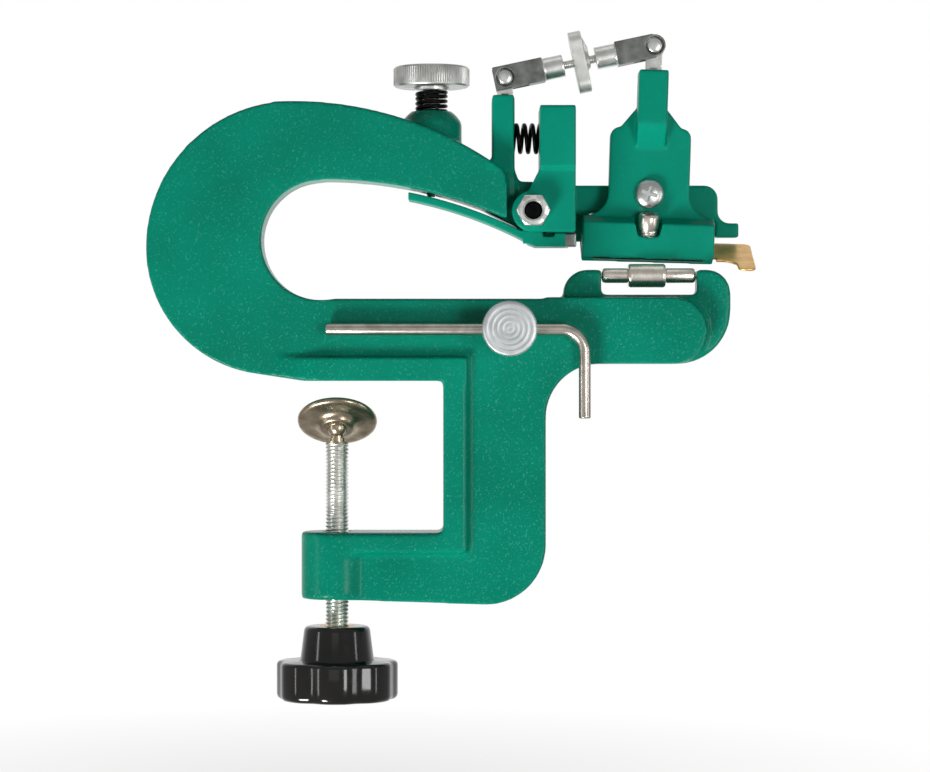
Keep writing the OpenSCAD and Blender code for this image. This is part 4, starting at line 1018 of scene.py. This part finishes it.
@dataclass
class DepthAdjuster:
    """Knurled knob, screw, spring and the strip under the arm."""

    finishes: Finishes
    tools: NodeTools
    x: float = 31.7
    y: float = 3.0
    knob_low: float = 98.9
    knob_top: float = 105.9
    knob_r: float = 12.85
    ridge: float = 0.3
    ridges: int = 96
    screw_d: float = 6.0
    screw_pitch: float = 1.0
    seat_z: float = 89.0
    spring_top: float = 98.0
    spring_d: float = 11.0
    spring_wire: float = 1.3
    spring_turns: float = 5.0
    spring_gap: float = 0.05
    strip_voxel: float = 0.28
    strip_passes: int = 3
    bare_x: float = 76.5

    def build_knob(self) -> None:
        """Turns the knob, with a shallow dish on top, and knurls its rim."""
        rim = self.knob_r - self.ridge
        low, top = self.knob_low, self.knob_top
        hole = self.screw_d / 2 + 0.02
        profile = [(0.0, top - 1.0), (hole, top - 1.0), (hole, low), (rim - 0.9, low), (rim - 0.3, low + 0.2),
                   (rim, low + 0.7), (rim, top - 0.7), (rim - 0.3, top - 0.2), (rim - 0.9, top),
                   (rim - 2.2, top),
                   (rim - 2.8, top - 0.35), (0.0, top - 0.35)]
        knob = turn("depth_knob_turned", profile, place_at((self.x, self.y, 0)))
        self.tools.knurl(knob, rim - 0.05, self.ridges, self.ridge, top - low - 1.5,
                         (self.x, self.y, (low + top) / 2), (0, 0, 0), self.finishes.knurled)
        dress(knob, "depth_screw", Slot.ALUMINIUM, ("depth_knob",), self.finishes.knurled)

    def build_screw(self) -> None:
        """Rolls the thread on the depth screw, down to its coned tip."""
        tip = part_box("depth_screw")[0].z / MM
        r = self.screw_d / 2
        end = self.knob_top - 1.0
        start = tip + 2.6
        span = (start, end - 0.4, self.screw_pitch)
        profile = [(0.0, tip), (1.2, tip), (r - 0.5, start - 0.4), *thread_profile(r, *span), (r - 0.5, end),
                   (0.0, end)]
        screw = turn("depth_screw_thread", profile, place_at((self.x, self.y, 0)), 32,
                     thread_swell(r, *span, 0.5))
        dress(screw, "depth_screw", Slot.STEEL, ("depth_screw",), self.finishes.thread)

    def build(self) -> None:
        """Builds the adjuster."""
        self.build_knob()
        self.build_screw()
        foot, length = self.seat_z + self.spring_gap, self.spring_top - self.seat_z - 2 * self.spring_gap
        coil = SpringCoil(self.spring_d, self.spring_wire, length, self.spring_turns)
        spring = self.tools.wire("depth_spring_coil", coil.path(place_at((self.x, self.y, foot))),
                                 coil.wire, self.finishes.oxide_and_bore_shade)
        dress(spring, None, Slot.SPRING, ("depth_spring",), self.finishes.oxide_and_bore_shade)
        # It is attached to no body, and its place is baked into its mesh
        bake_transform(spring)
        strip = soften("depth_strip", "depth_lever", self.strip_voxel, self.strip_passes)
        # The bare end past bare_x takes the dark milled grey: real bare metal, darkened as painted shade
        for face in strip.data.polygons:
            face.material_index = int(face.center.x > self.bare_x * MM)
        dress(strip, "depth_lever", Slot.CASTING, ("depth_lever",), self.finishes.enamel,
              self.finishes.milled_and_shade_grey)
        coat("depth_washer", self.finishes.zinc)


@dataclass
class HeadLever:
    """Sprung lever on the main pivot, with its bolt, nut and spring."""

    finishes: Finishes
    tools: NodeTools
    voxel: float = 0.42
    passes: int = 13
    pivot: Point = (65.7, 56.7)
    nut_af: float = 10.0
    nut_y0: float = -13.55
    nut_y1: float = -8.55
    bolt_d: float = 6.0
    bolt_end: float = -11.55
    bolt_pitch: float = 1.0
    bolt_head_y0: float = 14.3
    bolt_head_y1: float = 18.3
    spring_left: float = 56.9
    spring_right: float = 70.35
    spring_y: float = 4.0
    spring_z: float = 81.8
    spring_keep: float = 0.78
    spring_d: float = 10.6
    spring_wire: float = 1.4
    spring_turns: float = 5.5
    bar_y: Point = (13.2, 20.0)
    bar_low: float = 57.4
    bar_top: float = 66.5
    heel_x: Point = (118.5, 128.6)
    heel_low: float = 54.6
    apron_x: Point = (75.0, 86.0)
    apron_y: Point = (23.7, 26.2)
    apron_low: float = 48.0
    skirt_x: Point = (68.0, 74.5)
    skirt_y: Point = (10.6, 12.8)
    skirt_z: Point = (47.4, 51.0)

    def build_pivot(self) -> None:
        """Makes the bolt and the nut on the main pivot."""
        at = place_at((self.pivot[0], 0, self.pivot[1]), Axis.Y)
        nut = hexagon("pivot_nut_hex", self.nut_af, self.nut_y0, self.nut_y1, at, self.bolt_d + 0.04)
        dress(nut, "frame", Slot.STEEL, ("pivot_nut",), self.finishes.zinc)
        r = self.bolt_d / 2
        threaded = thread_profile(r, self.bolt_end + 0.5, self.nut_y1, self.bolt_pitch)
        stem = [(0.0, self.bolt_end), (r - 0.5, self.bolt_end), *threaded, (r, self.bolt_head_y0 - 0.01)]
        bolt = hexagon("pivot_bolt_hex", self.nut_af, self.bolt_head_y0, self.bolt_head_y1, at, stem=stem)
        # The bolt's dark oxide is partly painted shade, for its end deep in the nut's bore
        dress(bolt, "frame", Slot.STEEL, ("pivot_bolt",), self.finishes.oxide_and_bore_shade)

    def build(self) -> None:
        """Builds the lever."""
        heel = brick((self.heel_x[0], self.bar_y[0], self.heel_low),
                     (self.heel_x[1], self.bar_y[1], self.bar_low + 1))
        apron = brick((self.apron_x[0], self.apron_y[0], self.apron_low),
                      (self.apron_x[1], self.apron_y[1], self.bar_top))
        bridge = brick((self.apron_x[0], self.bar_y[1] - 1, self.bar_low),
                       (self.apron_x[1], self.apron_y[0] + 1, self.bar_top))
        skirt = brick((self.skirt_x[0], self.skirt_y[0], self.skirt_z[0]),
                      (self.skirt_x[1], self.skirt_y[1], self.skirt_z[1]))
        lever = soften("head_lever_casting", "head_lever", self.voxel, self.passes,
                       [heel, apron, bridge, skirt])
        dress(lever, "head_lever", Slot.CASTING, ("head_lever",), self.finishes.enamel)
        self.build_pivot()
        coil = SpringCoil(self.spring_d, self.spring_wire, self.spring_right - self.spring_left,
                          self.spring_turns)
        place = place_at((self.spring_left, self.spring_y, self.spring_z), Axis.X)
        spring = self.tools.wire("head_spring_coil", coil.path(place), coil.wire, self.finishes.oxide_and_bore_shade)
        dress(spring, "frame", Slot.SPRING, ("head_spring",), self.finishes.oxide_and_bore_shade)
        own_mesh(spring)
        coat("pivot_washer", self.finishes.zinc)


@dataclass
class BladeHolder:
    """Holder casting, its pivot screw, the set screw, the brass plate and the blade."""

    finishes: Finishes
    voxel: float = 0.38
    passes: int = 15
    pivot: Point = (105.3, 63.3)
    lean: float = 1.8
    slope: float = 20.0
    edge_h: float = -22.9
    head_d: float = 10.0
    head_y0: float = 2.95
    head_y1: float = 5.95
    shank_d: float = 5.0
    shank_end: float = 24.15
    nut_af: float = 8.0
    nut_y0: float = 20.15
    nut_y1: float = 24.15
    set_d: float = 7.0
    set_l: float = 13.0
    set_y: float = 7.6
    set_low: float = 1.09
    set_bare_l: float = 5.2
    set_pitch: float = 1.0
    socket_af: float = 3.0
    socket_l: float = 4.0
    recess_l: float = 5.4
    recess_w: float = 1.3
    recess_depth: float = 1.5
    recess_turns: Point = (20.0, 110.0)
    plate_voxel: float = 0.24
    plate_passes: int = 2

    def in_holder(self) -> Matrix:
        """Gives the holder's own axes: origin on its pivot, leaning with it."""
        return (Matrix.Translation((self.pivot[0], 0, self.pivot[1]))
                @ Matrix.Rotation(math.radians(self.lean), 4, "Y"))

    def on_slope(self) -> Matrix:
        """Gives the blade's own axes: origin on the edge, +Y up the slope."""
        return (self.in_holder() @ Matrix.Translation((0, 0, self.edge_h))
                @ Matrix.Rotation(math.radians(self.slope), 4, "X"))

    def build_screw(self) -> None:
        """Makes the pan-head screw with its cross recess, and its locknut."""
        at = place_at((self.pivot[0], 0, self.pivot[1]), Axis.Y)
        r, rim = self.shank_d / 2, self.head_d / 2
        rise = self.head_y1 - self.head_y0
        dome = [(rim * math.sin(math.radians(a)),
                 self.head_y0 + (rise - 0.7) * (1 - math.cos(math.radians(a)))) for a in range(0, 91, 9)]
        profile = [*dome, (rim, self.head_y1 - 0.2), (rim - 0.2, self.head_y1), (r, self.head_y1),
                   (r, self.shank_end - 0.5), (r - 0.5, self.shank_end), (0.0, self.shank_end)]
        screw = turn("holder_pan_screw", profile, at)
        for turned in self.recess_turns:
            work = bmesh.new()
            bmesh.ops.create_cube(work, size=1.0)
            size = Matrix.Diagonal((self.recess_l * MM, 2 * self.recess_depth * MM, self.recess_w * MM, 1.0))
            spot = Matrix.Translation((self.pivot[0] * MM, self.head_y0 * MM, self.pivot[1] * MM))
            bmesh.ops.transform(work, matrix=spot @ Matrix.Rotation(math.radians(turned), 4, "Y") @ size,
                                verts=work.verts)
            mesh = bpy.data.meshes.new("recess_tool")
            work.to_mesh(mesh)
            work.free()
            cut_away(screw, new_object("recess_tool", mesh))
        dress(screw, "head_lever", Slot.NICKEL, ("holder_screw",), self.finishes.bright)
        nut = hexagon("holder_locknut_hex", self.nut_af, self.nut_y0, self.nut_y1, at, self.shank_d + 0.04)
        dress(nut, "head_lever", Slot.STEEL, ("holder_locknut",), self.finishes.zinc)

    def build_set_screw(self) -> None:
        """Makes the threaded set screw with its hexagon socket."""
        at = self.on_slope() @ Matrix.Translation((0, self.set_y, self.set_low))
        r = self.set_d / 2
        span = (0.7, self.set_l - self.set_bare_l, self.set_pitch)
        top = self.set_l - 0.45
        profile = [(0.0, 0.0), (r - 0.7, 0.0), *thread_profile(r - 0.01, *span), (r, span[1] + 0.3),
                   (r, top - 0.2),
                   (r - 0.1, top), (r - 0.45, self.set_l), (0.0, self.set_l)]
        screw = turn("set_screw_thread", profile, at, 64, thread_swell(r - 0.01, *span, 0.45))
        corner = self.socket_af / math.sqrt(3)
        floor = self.set_l - self.socket_l
        tool = turn("socket_tool",
                    [(0.0, floor - 0.6), (corner, floor), (corner, self.set_l + 1), (0.0, self.set_l + 1)],
                    at, 6)
        cut_away(screw, tool)
        dress(screw, "set_screw", Slot.STEEL, ("set_screw",), self.finishes.ground)

    def build(self) -> None:
        """Builds the holder."""
        holder = soften("blade_holder_casting", "blade_holder", self.voxel, self.passes)
        dress(holder, "blade_holder", Slot.CASTING, ("blade_holder",), self.finishes.enamel)
        self.build_screw()
        self.build_set_screw()
        plate = soften("brass_pressure_plate", "pressure_plate", self.plate_voxel, self.plate_passes)
        dress(plate, "pressure_plate", Slot.BRASS, ("pressure_plate",), self.finishes.brass)
        coat("razor_blade", self.finishes.blade)
        coat("holder_washer", self.finishes.zinc)


@dataclass
class Turnbuckle:
    """Two eyes, two clevises on riveted pins, and the winged rod between them."""

    finishes: Finishes
    left: Triple = (56.5, 4.0, 102.3)
    angle: float = 11.967
    length: float = 51.48
    rod_d: float = 3.0
    rod_start: float = 6.45
    rod_end: float = 42.18
    head_r: float = 2.2
    head_t: float = 1.1
    body_l: float = 13.2
    pin_r: float = 1.4
    pin_head_r: float = 2.3
    pin_inner: float = 3.05
    pin_outer: float = 3.95
    rod_pitch: float = 0.5
    rod_thread: float = 0.25
    voxel: float = 0.2
    passes: int = 6
    eye_passes: int = 2

    def in_link(self, along: float = 0.0) -> Matrix:
        """Gives the link's own axes, in millimetres, at a distance from the left pin."""
        return (Matrix.Translation(self.left) @ Matrix.Rotation(math.radians(-self.angle), 4, "Y")
                @ Matrix.Translation((along, 0, 0)))

    def build_pin(self, name: str, node: str, along: float) -> None:
        """Rivets one pin.

        Args:
            name: the piece's name.
            node: the node that it stands for.
            along: its distance from the left pin.
        """
        r, rim, a, b = self.pin_r, self.pin_head_r, self.pin_inner, self.pin_outer
        half = [(0.0, -b), (rim * 0.45, -b), (rim * 0.8, -b + 0.14), (rim, -b + 0.42), (rim, -a), (r, -a)]
        other = [(radius, -height) for radius, height in reversed(half)]
        pin = turn(name, half + other, self.in_link(along) @ Axis.Y.value, 48)
        dress(pin, "link", Slot.STEEL, (node,), self.finishes.zinc)

    def build_rod(self) -> None:
        """Rolls the fine thread on the rod, with its swivel head."""
        r = self.rod_d / 2
        neck = self.rod_start + self.head_t
        span = (neck + 0.01, self.rod_end - 0.3, self.rod_pitch)
        profile = [(0.0, self.rod_start), (self.head_r - 0.2, self.rod_start),
                   (self.head_r, self.rod_start + 0.2),
                   (self.head_r, neck), *thread_profile(r, *span, 4), (r - 0.3, self.rod_end),
                   (0.0, self.rod_end)]
        rod = turn("turnbuckle_thread", profile, self.in_link() @ Axis.X.value, 24,
                   thread_swell(r, *span, self.rod_thread))
        dress(rod, "turnbuckle_rod", Slot.STEEL, ("turnbuckle_rod",), self.finishes.thread)

    def build_clevis(self, name: str, node: str, flip: bool) -> None:
        """Rounds one clevis: dark milled body, bright turned neck.

        Args:
            name: the piece's name.
            node: the node that it stands for.
            flip: True for the right clevis, whose neck points left.
        """
        clevis = soften(name, node, self.voxel, self.passes)
        to_link = self.in_link().inverted()
        for face in clevis.data.polygons:
            along = (to_link @ (face.center / MM)).x
            reach = self.length - along if flip else along
            face.material_index = int(reach > self.body_l)
        dress(clevis, "link", Slot.STEEL, (node,), self.finishes.milled_and_shade_grey, self.finishes.zinc)

    def build(self) -> None:
        """Builds the link."""
        for name, node, body in (("left_link_eye", "left_eye", "frame"),
                                 ("right_link_eye", "right_eye", "blade_holder")):
            eye = soften(name, node, self.voxel, self.eye_passes)
            dress(eye, body, Slot.STEEL, (node,), self.finishes.zinc)
        self.build_clevis("left_link_clevis", "left_clevis", False)
        self.build_clevis("right_link_clevis", "right_clevis", True)
        self.build_pin("left_link_pin", "left_clevis_pin", 0.0)
        self.build_pin("right_link_pin", "right_clevis_pin", self.length)
        self.build_rod()
        wing = soften("turnbuckle_wing", "wing", self.voxel, self.passes)
        dress(wing, "turnbuckle_rod", Slot.STEEL, ("wing",), self.finishes.cast_zinc)


@dataclass(frozen=True)
class Lamp:
    """One soft lamp: its place and its width and height in millimetres, and its power in watts."""

    name: str
    at: Triple
    size: Point
    watts: float


LAMPS = (
    Lamp("key_lamp", (-430, -520, -650), (300, 300), 8.7),
    Lamp("right_lamp", (430, -690, -60), (190, 360), 1.95),
    Lamp("front_lamp", (-60, -900, 90), (360, 360), 0.15),
    Lamp("top_lamp", (40, -60, 760), (600, 420), 0.4),
    Lamp("left_strip", (-560, -260, -40), (60, 420), 0.4),
    Lamp("right_strip", (640, -260, -40), (60, 420), 0.4),
)


@dataclass
class Studio:
    """White floor, soft lamps and the camera."""

    centre: Triple = (43.0, 0.0, -1.7)
    distance: float = 1000.0
    frame_width: float = 310.0
    face_y: float = -9.0
    # Under the star knob's lowest travel
    floor_z: float = -134.2
    floor_half: float = 3000.0
    shade_half: float = 230.0
    room_dim: float = 0.04
    room_gloss: float = 0.38
    room_back: float = 1.0
    room_edge: Point = (0.25, 0.8)
    shade_glow: float = 0.75

    def build_camera(self) -> None:
        """Stands the camera level with the machine, square to its side."""
        camera = bpy.data.cameras.new("camera")
        camera.sensor_fit = "HORIZONTAL"
        camera.sensor_width = 36.0
        camera.lens = camera.sensor_width * (self.distance + self.face_y) / self.frame_width
        obj = new_object("camera", camera)
        obj.location = (self.centre[0] * MM, -self.distance * MM, self.centre[2] * MM)
        obj.rotation_euler = (math.radians(90), 0, 0)
        bpy.context.scene.camera = obj

    def build_lamp(self, lamp: Lamp) -> None:
        """Hangs one soft lamp that faces the machine."""
        light = bpy.data.lights.new(lamp.name, "AREA")
        light.shape = "RECTANGLE"
        light.size, light.size_y = lamp.size[0] * MM, lamp.size[1] * MM
        light.energy = lamp.watts
        obj = new_object(lamp.name, light)
        obj.location = Vector(lamp.at) * MM
        aim = Vector(self.centre) - Vector(lamp.at)
        obj.rotation_euler = aim.to_track_quat("-Z", "Y").to_euler()

    def build_world(self) -> None:
        """Makes a white backdrop behind the machine and a dim room in front of it."""
        world = bpy.data.worlds.new("studio")
        bpy.context.scene.world = world
        world.use_nodes = True
        tree = world.node_tree
        tree.nodes.clear()
        way = add_node(tree, "ShaderNodeTexCoord").outputs["Generated"]
        parts = add_node(tree, "ShaderNodeSeparateXYZ", {0: way})
        depth = add_node(tree, "ShaderNodeMapRange",
                         {"Value": parts.outputs["Y"], "From Min": self.room_edge[0],
                          "From Max": self.room_edge[1], "To Min": self.room_dim, "To Max": self.room_back})
        path = add_node(tree, "ShaderNodeLightPath")
        mirrored = add_node(tree, "ShaderNodeMath", {0: path.outputs["Is Glossy Ray"], 1: self.room_gloss},
                            operation="MULTIPLY")
        level = add_node(tree, "ShaderNodeMath", {0: depth.outputs[0], 1: mirrored.outputs[0]},
                         operation="MAXIMUM")
        room = add_node(tree, "ShaderNodeBackground", {"Color": WHITE, "Strength": level.outputs[0]})
        white = add_node(tree, "ShaderNodeBackground", {"Color": WHITE, "Strength": 1.0})
        mix = add_node(tree, "ShaderNodeMixShader",
                       {0: seen_directly(tree), 1: room.outputs[0], 2: white.outputs[0]})
        add_node(tree, "ShaderNodeOutputWorld", {"Surface": mix.outputs[0]})

    def build_floor(self) -> None:
        """Lays a white floor that takes a faint shadow and lets the low lamp through."""
        half = self.floor_half * MM
        mesh = bpy.data.meshes.new("floor")
        mesh.from_pydata([(-half, -half, self.floor_z * MM), (half, -half, self.floor_z * MM),
                          (half, half, self.floor_z * MM), (-half, half, self.floor_z * MM)], [],
                          [(0, 1, 2, 3)])
        floor = new_object("floor", mesh)
        material, tree, shader = new_material("matt_white_paper")
        shader.inputs["Base Color"].default_value = linear("#f2f2f0")
        shader.inputs["Roughness"].default_value = 0.9
        shader.inputs["Specular IOR Level"].default_value = 0.0
        glow = add_node(tree, "ShaderNodeEmission", {"Color": WHITE, "Strength": 1.0})
        place = add_node(tree, "ShaderNodeTexCoord").outputs["Object"]
        reach = add_node(tree, "ShaderNodeVectorMath", {0: place, 1: (0.0, 0.0, self.floor_z * MM)},
                         operation="DISTANCE")
        glowing = add_node(tree, "ShaderNodeMapRange",
                           {"Value": reach.outputs["Value"], "From Max": self.shade_half * MM,
                            "To Min": self.shade_glow})
        amount = add_node(tree, "ShaderNodeMath", {0: seen_directly(tree), 1: glowing.outputs[0]},
                          operation="MULTIPLY")
        mix = add_node(tree, "ShaderNodeMixShader",
                       {0: amount.outputs[0], 1: shader.outputs[0], 2: glow.outputs[0]})
        tree.links.new(mix.outputs[0], tree.nodes["Material Output"].inputs["Surface"])
        floor.data.materials.append(material)
        floor.visible_shadow = False
        floor.visible_glossy = False

    def build(self) -> None:
        """Builds the studio."""
        bpy.context.scene.view_settings.view_transform = "Standard"
        self.build_camera()
        self.build_world()
        self.build_floor()
        for lamp in LAMPS:
            self.build_lamp(lamp)


def main() -> None:
    """Builds the studio and the sub-assemblies in order."""
    logging.basicConfig(level=logging.INFO, format="%(message)s")
    Studio().build()
    finishes = Finishes()
    tools = NodeTools()
    FrameCasting(finishes).build()
    BenchClamp(finishes).build()
    AnvilRoller(finishes).build()
    EdgeGuide(finishes, tools).build()
    DepthAdjuster(finishes, tools).build()
    HeadLever(finishes, tools).build()
    BladeHolder(finishes).build()
    Turnbuckle(finishes).build()


if __name__ == "__main__":
    main()
